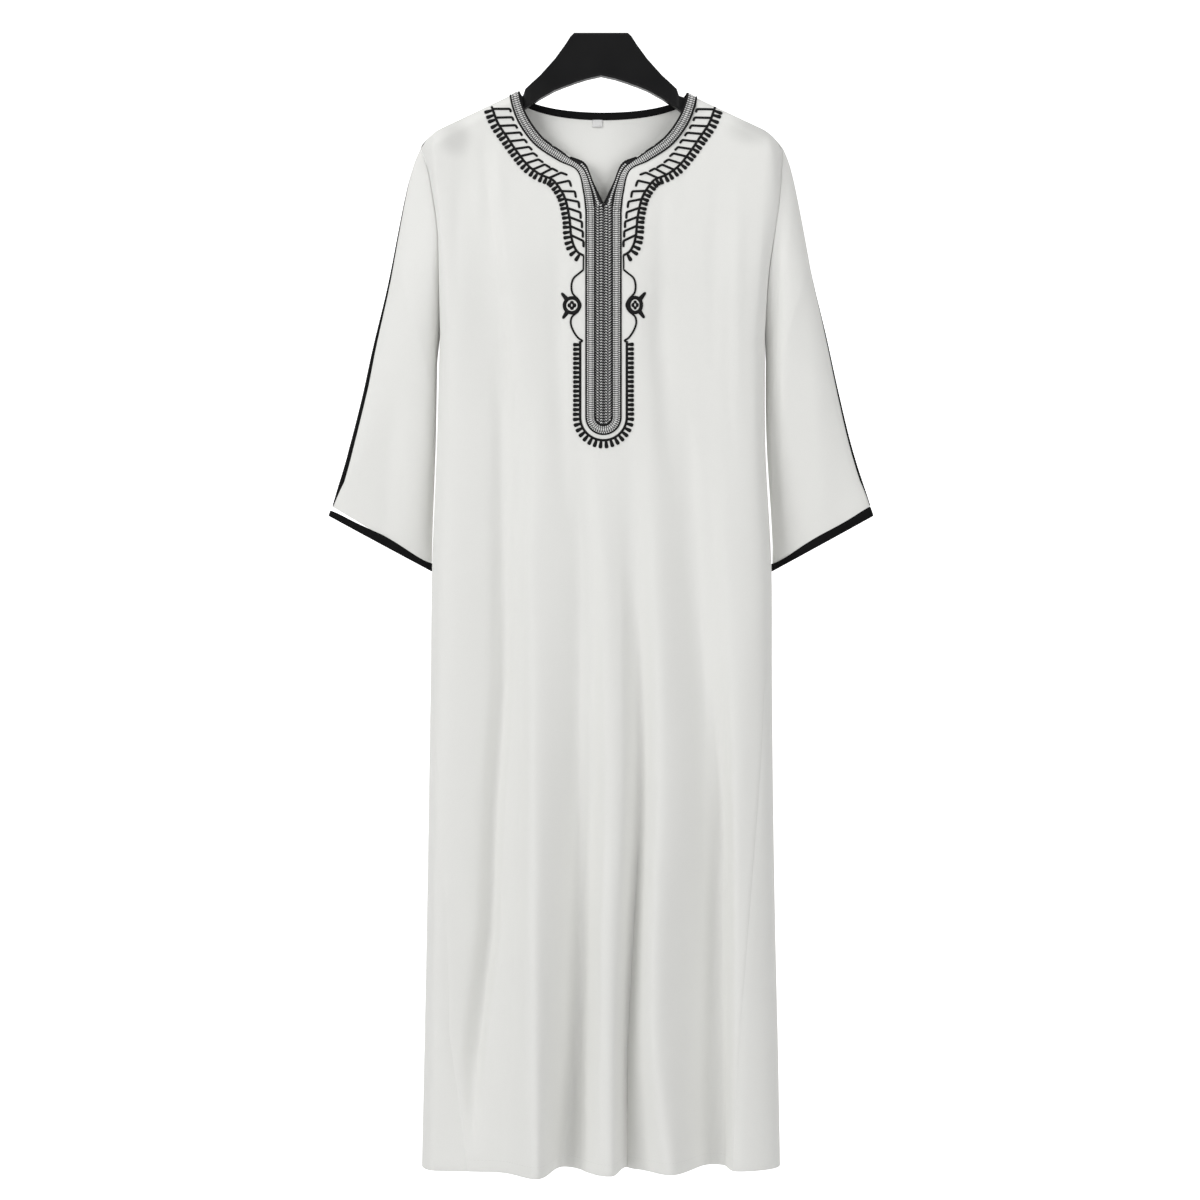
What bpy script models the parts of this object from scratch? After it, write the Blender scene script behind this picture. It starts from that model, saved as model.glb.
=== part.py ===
"""Embroidered robe on a moulded hanger.

Every cloth piece is a thin wall. The body is a closed ring at each level, run through its
folds, and the panels are stretches of that ring. Metres, +Z up, front towards -Y, with the
origin on top of the hanger.
"""
import math

import bmesh
import bpy
import numpy as np

# Driving sizes of the garment
CLOTH = 0.002
BRAID = 0.0011
SEAM_GAP = 0.0003
LIFT = 0.0003
HEM_Z = -1.414
UNDERARM_Z = -0.375
SHOULDER_Z = -0.0735
SHOULDER_START = 0.1045
SHOULDER_SLOPE = 0.477
SHOULDER_BEND_START = 0.200
SHOULDER_BEND = 17.5
TIP_Z = -0.143
AXIS_X = 0.003

# Neck: half spans and depths of the edge and of the braid's outer line, from the axis
NECK_CENTRE_X = 0.021
NECK_CENTRE_Z = -0.070
NECK_EDGE = (0.084, 0.092, 1.7)
NECK_LINE = (0.0955, 0.100, 1.9)
NECK_START = {"edge": 0.055, "line": 0.0854}
NECK_STOPS = (0.0, 0.012, 0.03, 0.06, 0.13, 0.28, 0.50, 0.75, 1.0)
SLIT_CORNER = (0.018, -0.165)
SLIT_BOTTOM = -0.217
PLACKET_CORE = 0.0105
PLACKET_FLARE = ((0.0325, -0.1745), (0.0243, -0.204), (0.0215, -0.227))
PLACKET_INNER = ((0.0198, -0.171), (0.0130, -0.198), (PLACKET_CORE, -0.222))
BACK_NECK = (0.105, 0.0288)
BACK_BAND = 0.010
PLACKET_ROUND_Z = -0.480
BRAID_INSET = 0.0025

# Depth of the cloth at the shoulder and at the underarm
ROUND_NECK = 0.012
ROUND_TIP = 0.026
ROUND_END = 0.2145
FRONT_DEPTH = -0.036
BACK_DEPTH = 0.036
DEPTH_REACH = 0.24

# Levels at which the fold tables below are given
LEVELS = {"chest": -0.375, "ribs": -0.520, "waist": -0.660, "hip": -0.810,
          "thigh": -0.965, "knee": -1.117, "calf": -1.270, "hem": -1.414}

# Front folds, left to right: place across (mm) at each level, chest to hem
FRONT_ACROSS = {
    "left_side": (-201.5, -205.5, -211, -213, -215.5, -218, -221, -224),
    "left_turn": (-190, -194, -199, -201, -203, -205, -208, -212),
    "valley_1": (-139, -126, -129, -135, -141, -146, -160, -166),
    "slope_1": (-117, -113, -117, -121, -124, -126, -130, -128),
    "ridge_1": (-96, -98, -106, -106, -106, -101, -94, -87),
    "valley_2": (-55, -46, -43, -42, -42, -41, -47, -58),
    "ridge_2": (-18.5, -18.5, -21, -18, -16, -14, -10, -8),
    "centre": (3, 3, 4, 4, 5, 6, 7, 9),
    "valley_3": (24.5, 24.5, 31, 31, 31, 31, 29, 29),
    "ridge_3": (49, 52, 55, 55, 55, 55, 61, 82),
    "valley_4": (74, 92, 101, 120, 136, 134, 131, 128),
    "slope_4": (112, 118, 126, 138, 147, 149, 149, 149),
    "ridge_4": (151, 151, 151, 154, 157, 162, 164, 164),
    "right_turn": (193, 193, 199, 201, 203, 205, 208, 211),
    "right_side": (205, 206, 213, 214, 215.5, 218, 221.5, 224),
}
# The same folds: depth (mm) at each level, towards the viewer is negative
FRONT_DEPTHS = {
    "left_side": (8, 7, 6, 5, 4, 3, 2, 0),
    "left_turn": (-28, -28, -28, -28, -28, -28, -28, -28),
    "valley_1": (-32, -30, -28, -26, -24, -23, -26, -34),
    "slope_1": (-35, -34, -35, -36, -38, -38, -40, -42),
    "ridge_1": (-36, -38, -42, -50, -58, -66, -72, -75),
    "valley_2": (-34, -34, -34, -32, -28, -22, -16, -8),
    "ridge_2": (-36, -37, -42, -48, -54, -60, -60, -58),
    "centre": (-36, -37, -40, -46, -52, -58, -60, -60),
    "valley_3": (-36, -36, -34, -28, -24, -18, -12, -6),
    "ridge_3": (-37, -38, -42, -48, -54, -58, -56, -54),
    "valley_4": (-33, -31, -28, -22, -16, -10, -4, 0),
    "slope_4": (-34, -33, -32, -30, -26, -20, -12, -4),
    "ridge_4": (-35, -35, -38, -40, -42, -44, -40, -34),
    "right_turn": (-28, -28, -28, -28, -28, -28, -26, -22),
    "right_side": (8, 7, 6, 5, 4, 3, 2, 0),
}
# Back folds, right to left: across at chest and hem, depth at chest, waist and hem (mm)
BACK_FOLDS = {
    "right_turn": (193, 212, 32, 32, 34),
    "valley_1": (140, 150, 34, 31, 24),
    "ridge_1": (95, 100, 37, 45, 68),
    "valley_2": (45, 50, 34, 32, 24),
    "ridge_2": (0, 4, 38, 44, 64),
    "valley_3": (-48, -44, 34, 32, 24),
    "ridge_3": (-95, -98, 37, 45, 70),
    "valley_4": (-142, -150, 34, 32, 26),
    "left_turn": (-190, -212, 32, 32, 34),
}
# Number of steps from each fold to the next, front left to right then back right to left
FRONT_STEPS = (3, 2, 2, 2, 6, 4, 2, 2, 3, 2, 5, 2, 2, 3)
BACK_STEPS = (3, 2, 2, 3, 3, 3, 3, 2, 2, 3)

# Rows: shares of the way from the underarm up to the top edge, then levels down to the hem
UPPER_ROWS = (0.0, 0.25, 0.45, 0.62, 0.76, 0.87, 0.95, 0.985, 0.994, 1.0)
LOWER_ROWS = (-0.43, -0.48, -0.52, -0.60, -0.70, -0.72, -0.82, -0.92, -1.02, -1.12, -1.22,
              -1.32, -1.414)

# Where each fold's line meets the shoulder: distance from the middle of the hanger
SHOULDER_STOPS = {"turn": 0.206, "valley": 0.163, "slope": 0.140}
BACK_SHOULDER_STOPS = {"turn": 0.206, "valley": 0.163}

# Side gores: level, and how many folds in from the side the seam lies, front and back
GORE_TOP = -0.70
GORE_FIRST_ROW = -0.72
GORE_SEAMS = {
    "left": ((-0.70, 0.0, 0.0), (-0.969, 1.1, 0.7), (-1.244, 1.43, 1.15), (-1.414, 2.0, 1.4)),
    "right": ((-0.70, 0.0, 0.0), (-0.827, 0.95, 0.3), (-1.016, 1.33, 0.75),
              (-1.244, 1.8, 1.15), (-1.414, 2.0, 1.4)),
}
GORE_COLUMNS = 6

# Armhole seam: level, distance out on the left and on the right
ARMHOLE = ((-0.375, 0.2015, 0.205), (-0.300, 0.2017, 0.2093), (-0.247, 0.2035, 0.217),
           (-0.208, 0.2095, 0.2225), (-0.172, 0.2163, 0.2255), (-0.143, 0.2255, 0.2275))
ARMHOLE_FRONT = 0.021
ARMHOLE_BACK = 0.024
UNDERARM_Y = 0.008

# Sleeve: outer fold by level, inner fold, and depth of the tube from armhole to cuff
SLEEVE_OUTER = ((-0.143, 0.2255), (-0.161, 0.233), (-0.181, 0.2388), (-0.211, 0.2456),
                (-0.251, 0.2538), (-0.303, 0.2644), (-0.383, 0.283), (-0.463, 0.300),
                (-0.543, 0.3206), (-0.603, 0.3406))
CUFF_INNER_Y = 0.024
CUFF_INNER_Z = -0.672
CUFF_OUTER_Y = 0.008
SLEEVE_ROWS = (0.0, 0.035, 0.085, 0.16, 0.27, 0.40, 0.54, 0.68, 0.83, 0.976, 1.0)
SLEEVE_DEPTH = ((0.0, 0.022, 0.024), (0.3, 0.027, 0.022), (0.7, 0.019, 0.017),
                (1.0, 0.012, 0.012))
SLEEVE_CLEAR = 0.0022

# Columns of the sleeve ring that carry the braid: 0 is the fold, then down the front
PIPING_COLUMNS = {"left": (0, 1, 2, 3), "right": (-2, -1, 0, 1, 2)}
PLACKET_TURN_STEPS = 8

# Label: place across, top edge, width and height, thickness
LABEL_X = -0.0045
LABEL_TOP = -0.1105
LABEL_SIZE = (0.013, 0.008)
LABEL_THICK = 0.0006

# Hanger: distance from the middle, top, underside, half depth
HANGER_STATIONS = (
    (0.000, 0.000, -0.0535, 0.0070), (0.018, 0.000, -0.0575, 0.0070),
    (0.0335, 0.000, -0.0625, 0.0070), (0.0385, -0.005, -0.0645, 0.0070),
    (0.0445, -0.0145, -0.0665, 0.0070), (0.058, -0.033, -0.072, 0.0070),
    (0.076, -0.053, -0.082, 0.0070), (0.088, -0.0640, -0.090, 0.0072),
    (0.0945, -0.0700, -0.0940, 0.0066), (0.0975, -0.0778, -0.0965, 0.0058),
)
HANGER_ARM = (0.104, 0.125, 0.150, 0.175, 0.192, 0.200, 0.2050)
HANGER_UNDER_CLOTH = 0.0032
HANGER_INSIDE_ROUND = 0.003
HANGER_EDGE = 0.002
HANGER_FOOT_EDGE = 0.003
HANGER_ARM_HEIGHT = 0.024
HANGER_NECK_DEPTH = 0.0058
HANGER_TIP_DEPTH = 0.0155
HANGER_NECK_DIP = 0.0032
HANGER_TIP_DIP = 0.013
HOOK_HOLE_RADIUS = 0.0019
HOOK_HOLE_DEPTH = 0.018

# Colours: linear red, green and blue, with roughness
CLOTH_LOOK = ((0.80, 0.80, 0.77), 0.85)
BLACK_LOOK = ((0.012, 0.012, 0.013), 0.80)
BRAID_LOOK = ((0.20, 0.20, 0.20), 0.75)
PLASTIC_LOOK = ((0.010, 0.010, 0.011), 0.38)
LABEL_LOOK = ((0.75, 0.75, 0.74), 0.6)

MM = 0.001


def clear_scene():
    for item in list(bpy.data.objects):
        bpy.data.objects.remove(item, do_unlink=True)


def make_material(name, look):
    colour, roughness = look
    material = bpy.data.materials.new(name)
    material.use_nodes = True
    shader = material.node_tree.nodes["Principled BSDF"]
    shader.inputs["Base Color"].default_value = (*colour, 1.0)
    shader.inputs["Roughness"].default_value = roughness
    shader.inputs["Metallic"].default_value = 0.0
    return material


def unit(vectors):
    length = np.linalg.norm(vectors, axis=-1, keepdims=True)
    return vectors / np.maximum(length, 1e-12)


def ease(t):
    t = np.clip(t, 0.0, 1.0)
    return t * t * (3.0 - 2.0 * t)


def curve_through(stops, values, at):
    """Smooth curve through the values at the stops, read at one place."""
    stops = np.asarray(stops, float)
    values = np.asarray(values, float)
    if stops[0] > stops[-1]:
        stops, values = stops[::-1], values[::-1]
    slopes = np.gradient(values, stops, axis=0)
    at = min(max(at, stops[0]), stops[-1])
    i = min(int(np.searchsorted(stops, at, side="right")) - 1, len(stops) - 2)
    h = stops[i + 1] - stops[i]
    t = (at - stops[i]) / h
    return ((2 * t**3 - 3 * t**2 + 1) * values[i] + (t**3 - 2 * t**2 + t) * h * slopes[i]
            + (3 * t**2 - 2 * t**3) * values[i + 1] + (t**3 - t**2) * h * slopes[i + 1])


# The body as a ring at each level

def ring_stops(z):
    """Plan points of all folds at one level, front left to right, then back right to left."""
    levels = list(LEVELS.values())
    points = []
    for name, across in FRONT_ACROSS.items():
        x = curve_through(levels, across, z)
        y = curve_through(levels, FRONT_DEPTHS[name], z)
        points.append((x * MM, y * MM))
    down = (UNDERARM_Z - z) / (UNDERARM_Z - HEM_Z)
    for x_top, x_hem, y_top, y_mid, y_hem in BACK_FOLDS.values():
        x = x_top + (x_hem - x_top) * down
        y = curve_through((0.0, 0.4, 1.0), (y_top, y_mid, y_hem), down)
        points.append((x * MM, y * MM))
    return np.array(points)


def ring_point(stops, q):
    """Point of the closed ring at fold number q, and the way along it there."""
    count = len(stops)
    i = int(math.floor(q)) % count
    t = q - math.floor(q)
    four = [stops[(i + k) % count] for k in (-1, 0, 1, 2)]
    d0, d1, d2 = (max(np.linalg.norm(four[k + 1] - four[k]), 1e-6) ** 0.5 for k in range(3))
    m1 = ((four[1] - four[0]) / d0 - (four[2] - four[0]) / (d0 + d1) + (four[2] - four[1]) / d1)
    m2 = ((four[2] - four[1]) / d1 - (four[3] - four[1]) / (d1 + d2) + (four[3] - four[2]) / d2)
    place = ((2 * t**3 - 3 * t**2 + 1) * four[1] + (t**3 - 2 * t**2 + t) * d1 * m1
             + (3 * t**2 - 2 * t**3) * four[2] + (t**3 - t**2) * d1 * m2)
    along = ((6 * t**2 - 6 * t) * four[1] + (3 * t**2 - 4 * t + 1) * d1 * m1
             + (6 * t - 6 * t**2) * four[2] + (3 * t**2 - 2 * t) * d1 * m2)
    return place, along


def ring_row(z, numbers):
    """Outer points and inward directions of the ring at one level."""
    stops = ring_stops(z)
    points, inward = [], []
    for q in numbers:
        place, along = ring_point(stops, q)
        points.append((place[0], place[1], z))
        inward.append((-along[1], along[0], 0.0))
    return np.array(points), unit(np.array(inward))


FOLD_COUNT = len(FRONT_ACROSS) + len(BACK_FOLDS)
RIGHT_SIDE = len(FRONT_ACROSS) - 1


def gore_seam(side, z, face):
    """How many folds in from the side the gore's seam lies at one level."""
    table = GORE_SEAMS[side]
    if z >= GORE_TOP:
        return 0.0
    column = 1 if face == "front" else 2
    return float(np.interp(-z, [-row[0] for row in table], [row[column] for row in table]))


def front_numbers(z):
    """Fold numbers of the front panel's columns at one level, between its two seams."""
    numbers = stepped(FRONT_STEPS, 0.0)
    left = gore_seam("left", z, "front")
    right = RIGHT_SIDE - gore_seam("right", z, "front")
    return squeeze(numbers, 0.0, RIGHT_SIDE, left, right, 3.0)


def back_numbers(z):
    """Fold numbers of the back panel's columns at one level, between its two seams."""
    numbers = stepped(BACK_STEPS, float(RIGHT_SIDE))
    right = RIGHT_SIDE + gore_seam("right", z, "back")
    left = FOLD_COUNT - gore_seam("left", z, "back")
    return squeeze(numbers, RIGHT_SIDE, FOLD_COUNT, right, left, 2.0)


def stepped(steps, start):
    numbers = [start]
    for count in steps:
        base = numbers[-1]
        numbers += [base + (k + 1) / count for k in range(count)]
    return np.array(numbers)


def squeeze(numbers, first, last, new_first, new_last, reach):
    """Moves the end columns in to the seams, and leaves those past the reach in place."""
    moved = numbers.astype(float).copy()
    near = numbers < first + reach
    moved[near] = new_first + (numbers[near] - first) * (first + reach - new_first) / reach
    far = numbers > last - reach
    moved[far] = new_last - (last - numbers[far]) * (new_last - last + reach) / reach
    return moved


# The shoulders and the neck

def shoulder_height(x):
    out = abs(x)
    bend = max(out - SHOULDER_BEND_START, 0.0)
    fall = SHOULDER_SLOPE * max(out - SHOULDER_START, 0.0)
    return SHOULDER_Z - fall - SHOULDER_BEND * bend * bend


def round_radius(x):
    """Radius of the cloth's turn over the hanger, from the neck out to the tip."""
    share = (abs(x) - SHOULDER_START) / (ROUND_END - SHOULDER_START)
    return ROUND_NECK + (ROUND_TIP - ROUND_NECK) * min(max(share, 0.0), 1.0)


def shoulder_depth(x, z, face):
    """Depth of the cloth below the shoulder line, rounded over the hanger."""
    radius = round_radius(x)
    drop = max(shoulder_height(x) - z, 0.0)
    t = min(drop / radius, 1.0)
    rounded = math.sqrt(max(1.0 - (1.0 - t) ** 2, 0.0))
    full = abs(FRONT_DEPTH if face == "front" else BACK_DEPTH)
    reach = radius + (full - radius) * float(ease(drop / DEPTH_REACH))
    depth = reach * rounded
    return -depth if face == "front" else depth


def shoulder_inward(x, z, face):
    """Direction into the cloth of the rounded shoulder at one place."""
    step = 0.001
    sign = 1.0 if face == "back" else -1.0
    across = (shoulder_depth(x + step, z, face) - shoulder_depth(x - step, z, face)) / (2 * step)
    down = (shoulder_depth(x, z + step, face) - shoulder_depth(x, z - step, face)) / (2 * step)
    return unit(sign * np.array((across, -1.0, down)))


def superellipse(shape, start, share):
    """Point of a neck curve, out from the axis and down, at a share of its quarter turn."""
    across, down, power = shape
    angle = start + (0.5 * math.pi - start) * share
    x = NECK_CENTRE_X + across * math.cos(angle) ** (2.0 / power)
    z = NECK_CENTRE_Z - down * math.sin(angle) ** (2.0 / power)
    return x, z


def neck_point(stop, which):
    """Neck edge or braid line at stop 0 (shoulder) to 8 (foot of the slit)."""
    last = len(NECK_STOPS) - 1
    if which == "edge":
        if stop <= last:
            share = NECK_STOPS[stop]
            x, z = superellipse(NECK_EDGE, NECK_START["edge"], share)
            if stop == last:
                x, z = SLIT_CORNER
            return x, z
        part = (stop - last) / 2.0
        return SLIT_CORNER[0] * (1.0 - part), SLIT_CORNER[1] + (SLIT_BOTTOM - SLIT_CORNER[1]) * part
    if stop < last:
        return superellipse(NECK_LINE, NECK_START["line"], NECK_STOPS[stop] * 0.98)
    return PLACKET_FLARE[stop - last]


def braid_inner_point(stop):
    """Inner line of the braid: just inside the edge, then beside the placket's core."""
    last = len(NECK_STOPS) - 1
    if stop >= last:
        return np.array(PLACKET_INNER[stop - last])
    edge = np.array(neck_point(stop, "edge"))
    line = np.array(neck_point(stop, "line"))
    return edge + (line - edge) / np.linalg.norm(line - edge) * BRAID_INSET


def on_front(x, z):
    return np.array((x, shoulder_depth(x, z, "front"), z))


NECK_LAST = len(NECK_STOPS) + 1
FRONT_NECK = {"left": (4, 6), "right": (8, 11)}
NECK_COLUMNS = {"front": (4, 11), "back": (RIGHT_SIDE + 3, RIGHT_SIDE + 7)}


def front_top(number):
    """Top edge of the front panel's main part at one column."""
    if number <= 4:
        stops = (-0.2255, -SHOULDER_STOPS["turn"], -SHOULDER_STOPS["valley"],
                 -SHOULDER_STOPS["slope"])
        ends = stops + (AXIS_X - neck_point(0, "line")[0],)
        x = float(np.interp(number, range(5), ends))
        return x, shoulder_height(x)
    if number >= 11:
        ends = (AXIS_X + neck_point(0, "line")[0], SHOULDER_STOPS["valley"],
                SHOULDER_STOPS["turn"], 0.2275)
        x = float(np.interp(number, range(11, 15), ends))
        return x, (TIP_Z if x > 0.227 else shoulder_height(x))
    if number <= 6:
        order = stepped(FRONT_STEPS[4:6], 4.0)
        x, z = neck_point(int(np.argmin(abs(order - number))), "line")
        return AXIS_X - x, z
    if number >= 8:
        order = stepped(FRONT_STEPS[8:11], 8.0)
        x, z = neck_point(NECK_LAST - int(np.argmin(abs(order - number))), "line")
        return AXIS_X + x, z
    offset = number - 7
    if abs(offset) < 0.01:
        return AXIS_X, SLIT_BOTTOM
    return AXIS_X + math.copysign(PLACKET_CORE, offset), PLACKET_INNER[-1][1]


def back_top(number):
    """Top edge of the back panel at one column: shoulders, and the foot of the neck binding."""
    along = number - RIGHT_SIDE
    reach = BACK_NECK[0] + BACK_BAND - 0.002
    if along < 3:
        x = float(np.interp(along, range(4), (0.2275, BACK_SHOULDER_STOPS["turn"],
                                              BACK_SHOULDER_STOPS["valley"], AXIS_X + reach)))
        return x, (TIP_Z if x > 0.227 else shoulder_height(x))
    if along > 7:
        x = float(np.interp(along, range(7, 11), (AXIS_X - reach, -BACK_SHOULDER_STOPS["valley"],
                                                  -BACK_SHOULDER_STOPS["turn"], -0.2255)))
        return x, shoulder_height(x)
    return back_neck_point((along - 3) / 4, BACK_BAND)


def neck_share(share):
    """Spreads the columns so that they lie closer together near the shoulders."""
    return 0.5 - 0.5 * math.cos(math.pi * share)


def back_neck_point(share, out):
    """Back neck edge, or a line that far below it, from right (0) to left (1)."""
    span = BACK_NECK[0] + out
    deep = BACK_NECK[1] + out
    start = math.asin(min((NECK_CENTRE_Z - shoulder_height(span - 0.002)) / deep, 1.0))
    angle = start + (math.pi - 2 * start) * neck_share(share)
    return AXIS_X + span * math.cos(angle), NECK_CENTRE_Z - deep * math.sin(angle)


# The armhole seam, shared by the panels and the sleeve

def armhole(side, share, face):
    """Point of the armhole seam: share 0 at the underarm, 1 at the shoulder."""
    column = 1 if side == "left" else 2
    sign = -1.0 if side == "left" else 1.0
    z = UNDERARM_Z + (TIP_Z - UNDERARM_Z) * share
    x = sign * curve_through([row[0] for row in ARMHOLE], [row[column] for row in ARMHOLE], z)
    middle = UNDERARM_Y * (1.0 - share)
    swell = math.sin(math.pi * share) ** 0.8 if 0.0 < share < 1.0 else 0.0
    bulge = -ARMHOLE_FRONT if face == "front" else ARMHOLE_BACK
    return np.array((x, middle + bulge * swell, z))


def armhole_inward(share, face):
    """Direction into the armhole oval, square to its seam, in the plane of depth and height."""
    step = 0.01
    low = armhole("left", max(share - step, 0.0), face)
    high = armhole("left", min(share + step, 1.0), face)
    along = high - low
    turn = 1.0 if face == "front" else -1.0
    if share in (0.0, 1.0):
        return np.array((0.0, 0.0, 1.0 if share == 0.0 else -1.0))
    inward = unit(np.array((0.0, turn * along[2], -turn * along[1])))
    bulge = abs(armhole("left", share, face)[1] - UNDERARM_Y * (1.0 - share))
    most = 0.5 * bulge / CLOTH
    inward[1] = min(max(inward[1], -most), most)
    return unit(inward)


def upper_rows(numbers, top_of, face, base_points):
    """Rows of a panel above the underarm, from the underarm level up to the top edge."""
    left, right = ("left", "right") if face == "front" else ("right", "left")
    first, last = numbers[0], numbers[-1]
    rows = []
    for share in UPPER_ROWS:
        row = []
        for number, base in zip(numbers, base_points):
            x_top, z_top = top_of(number)
            x = base[0] + (x_top - base[0]) * share
            z = base[2] + (z_top - base[2]) * share
            start = base[1] - shoulder_depth(base[0], base[2], face)
            y = shoulder_depth(x, z, face) + start * (1.0 - share) ** 1.5
            row.append(np.array((x, y, z)))
        rows.append(row)
    for share, row in zip(UPPER_ROWS, rows):
        for end, side, edge in ((first, left, 0), (last, right, -1)):
            gap = armhole(side, share, face) - row[edge]
            for k, number in enumerate(numbers):
                near = 1.0 - abs(number - end)
                if near > 0.0:
                    row[k] = row[k] + gap * np.array((near, near ** 2, near))
    return np.array(rows)


# Meshes

def grid_faces(rows, columns, offset=0, closed=False):
    faces = []
    for r in range(rows - 1):
        for c in range(columns if closed else columns - 1):
            a = offset + r * columns + c
            b = offset + r * columns + (c + 1) % columns
            faces.append((a, b, b + columns, a + columns))
    return faces


def merge_points(points, faces, forced):
    """Joins points that coincide, so that patches become one surface."""
    keys, index, kept, kept_forced = {}, [], [], []
    for point, given in zip(points, forced):
        key = tuple(np.round(np.asarray(point) * 2e5).astype(int))
        if key not in keys:
            keys[key] = len(kept)
            kept.append(point)
            kept_forced.append(given)
        elif given is not None:
            kept_forced[keys[key]] = given
        index.append(keys[key])
    joined = []
    for face in faces:
        corners = [index[i] for i in face]
        corners = [v for k, v in enumerate(corners) if v != corners[k - 1]]
        if len(corners) > 2:
            joined.append(tuple(corners))
    return np.array(kept), joined, kept_forced


def split_quads(points, faces):
    """Splits each four-sided face along its shorter diagonal."""
    split = []
    for face in faces:
        if len(face) < 4:
            split.append(face)
            continue
        a, b, c, d = face
        if np.linalg.norm(points[a] - points[c]) <= np.linalg.norm(points[b] - points[d]) + 1e-6:
            split += [(a, b, c), (a, c, d)]
        else:
            split += [(a, b, d), (b, c, d)]
    return split


def surface_inward(points, faces):
    """Mean direction into the cloth at each point, from the faces round it."""
    total = np.zeros_like(points)
    for face in faces:
        corners = points[list(face)]
        normal = np.zeros(3)
        for k in range(len(corners)):
            normal += np.cross(corners[k - 1], corners[k])
        for v in face:
            total[v] += normal
    return -unit(total)


def rim_faces(a, b, count, outer):
    """Two faces of a wall's rim, split the same way on both sides of a seam."""
    heights = [tuple(np.round(outer[v][[2, 1, 0]], 3)) for v in (a, b)]
    if heights[0] > heights[1]:
        return [(b, a, b + count), (a, a + count, b + count)]
    return [(b, a, a + count), (b, a + count, b + count)]


def wall(name, points, faces, material, thick, forced=None, outward=0.0):
    """Closed wall: the outer surface, the same points moved in, and a rim round the edges."""
    forced = forced if forced is not None else [None] * len(points)
    points, faces, forced = merge_points(points, faces, forced)
    inward = surface_inward(points, faces)
    faces = split_quads(points, faces)
    for k, given in enumerate(forced):
        if given is not None:
            inward[k] = given
    outer = points - inward * outward
    inner = outer + inward * thick
    count = len(points)
    edges = {}
    for face in faces:
        for k in range(len(face)):
            edges[(face[k - 1], face[k])] = True
    solid = [tuple(face) for face in faces]
    solid += [tuple(v + count for v in reversed(face)) for face in faces]
    for a, b in edges:
        if (b, a) not in edges:
            solid += rim_faces(a, b, count, outer)
    mesh = bpy.data.meshes.new(name)
    mesh.from_pydata([tuple(p) for p in np.vstack((outer, inner))], [], solid)
    mesh.validate()
    item = bpy.data.objects.new(name, mesh)
    bpy.context.scene.collection.objects.link(item)
    item.data.materials.append(material)
    shade(item)
    return points, inward


def directions_at(points, surface):
    """Directions of a wall below at points that it shares, and none elsewhere."""
    base, inward = surface
    found = []
    for point in points:
        distances = np.linalg.norm(base - point, axis=1)
        nearest = int(np.argmin(distances))
        found.append(inward[nearest] if distances[nearest] < LIFT else None)
    return found


def shade(item):
    item.data.shade_smooth()
    item.data.set_sharp_from_angle(angle=math.radians(50.0))


def pull_in(rows, gap, first=0):
    """Draws the first and last column of a grid back from its seams, from one row down."""
    rows[first:, 0] += unit(rows[first:, 1] - rows[first:, 0]) * gap
    rows[first:, -1] += unit(rows[first:, -2] - rows[first:, -1]) * gap
    return rows


def seam_direction(x):
    """Direction into the cloth along the shoulder seam."""
    return unit(np.array((-math.copysign(SHOULDER_SLOPE, x), 0.0, -1.0)))


def panel_grid(face):
    """Points of a whole panel, top to bottom, with the fixed directions at its seams."""
    numbers_of, top_of = (front_numbers, front_top) if face == "front" else (back_numbers, back_top)
    numbers = numbers_of(UNDERARM_Z)
    base, base_inward = ring_row(UNDERARM_Z, numbers)
    upper = upper_rows(numbers, top_of, face, base)
    rows = [row for row in upper[::-1]]
    inward = [[None] * len(numbers) for _ in rows]
    inward[-1] = list(base_inward)
    for z in LOWER_ROWS:
        points, directions = ring_row(z, numbers_of(z))
        rows.append(points)
        inward.append(list(directions))
    rows = np.array(rows)
    sides = ("left", "right") if face == "front" else ("right", "left")
    for k, share in enumerate(UPPER_ROWS[::-1]):
        for column in (0, -1):
            if share > 0.0:
                inward[k][column] = armhole_inward(share, face)
    seam_shift = np.array((0.0, -1.0 if face == "front" else 1.0, 0.0)) * SEAM_GAP / 2
    neck_first, neck_last = NECK_COLUMNS[face]
    for column, number in enumerate(numbers):
        x = rows[0, column, 0]
        if number < neck_first + 0.01 or number > neck_last - 0.01:
            rows[0, column, 2] = shoulder_height(x) if 0 < column < len(numbers) - 1 else TIP_Z
            rows[0, column] += seam_shift
            inward[0][column] = seam_direction(x)
        elif face == "back":
            inward[0][column] = shoulder_inward(x, rows[0, column, 2], face)
    underarm = len(UPPER_ROWS) - 1
    rows = pull_in(rows, SEAM_GAP / 2, underarm)
    for column in (0, -1):
        rows[:underarm + 1, column, 0] -= np.sign(rows[:underarm + 1, column, 0]) * SEAM_GAP / 2
    return rows, inward, numbers


def flatten(rows, inward):
    points = [point for row in rows for point in row]
    forced = [given for row in inward for given in row]
    return points, forced


def collar_lines(side):
    """Neck edge and braid's inner line, from the shoulder to the slit's foot."""
    sign = -1.0 if side == "left" else 1.0
    lines = []
    for maker in (lambda k: neck_point(k, "edge"), braid_inner_point):
        line = []
        for stop in range(NECK_LAST + 1):
            x, z = maker(stop)
            point = on_front(AXIS_X + sign * x, z)
            if stop == 0:
                point[2] = shoulder_height(point[0])
                point[1] = -SEAM_GAP / 2
            line.append(point)
        lines.append(line)
    return lines


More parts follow.
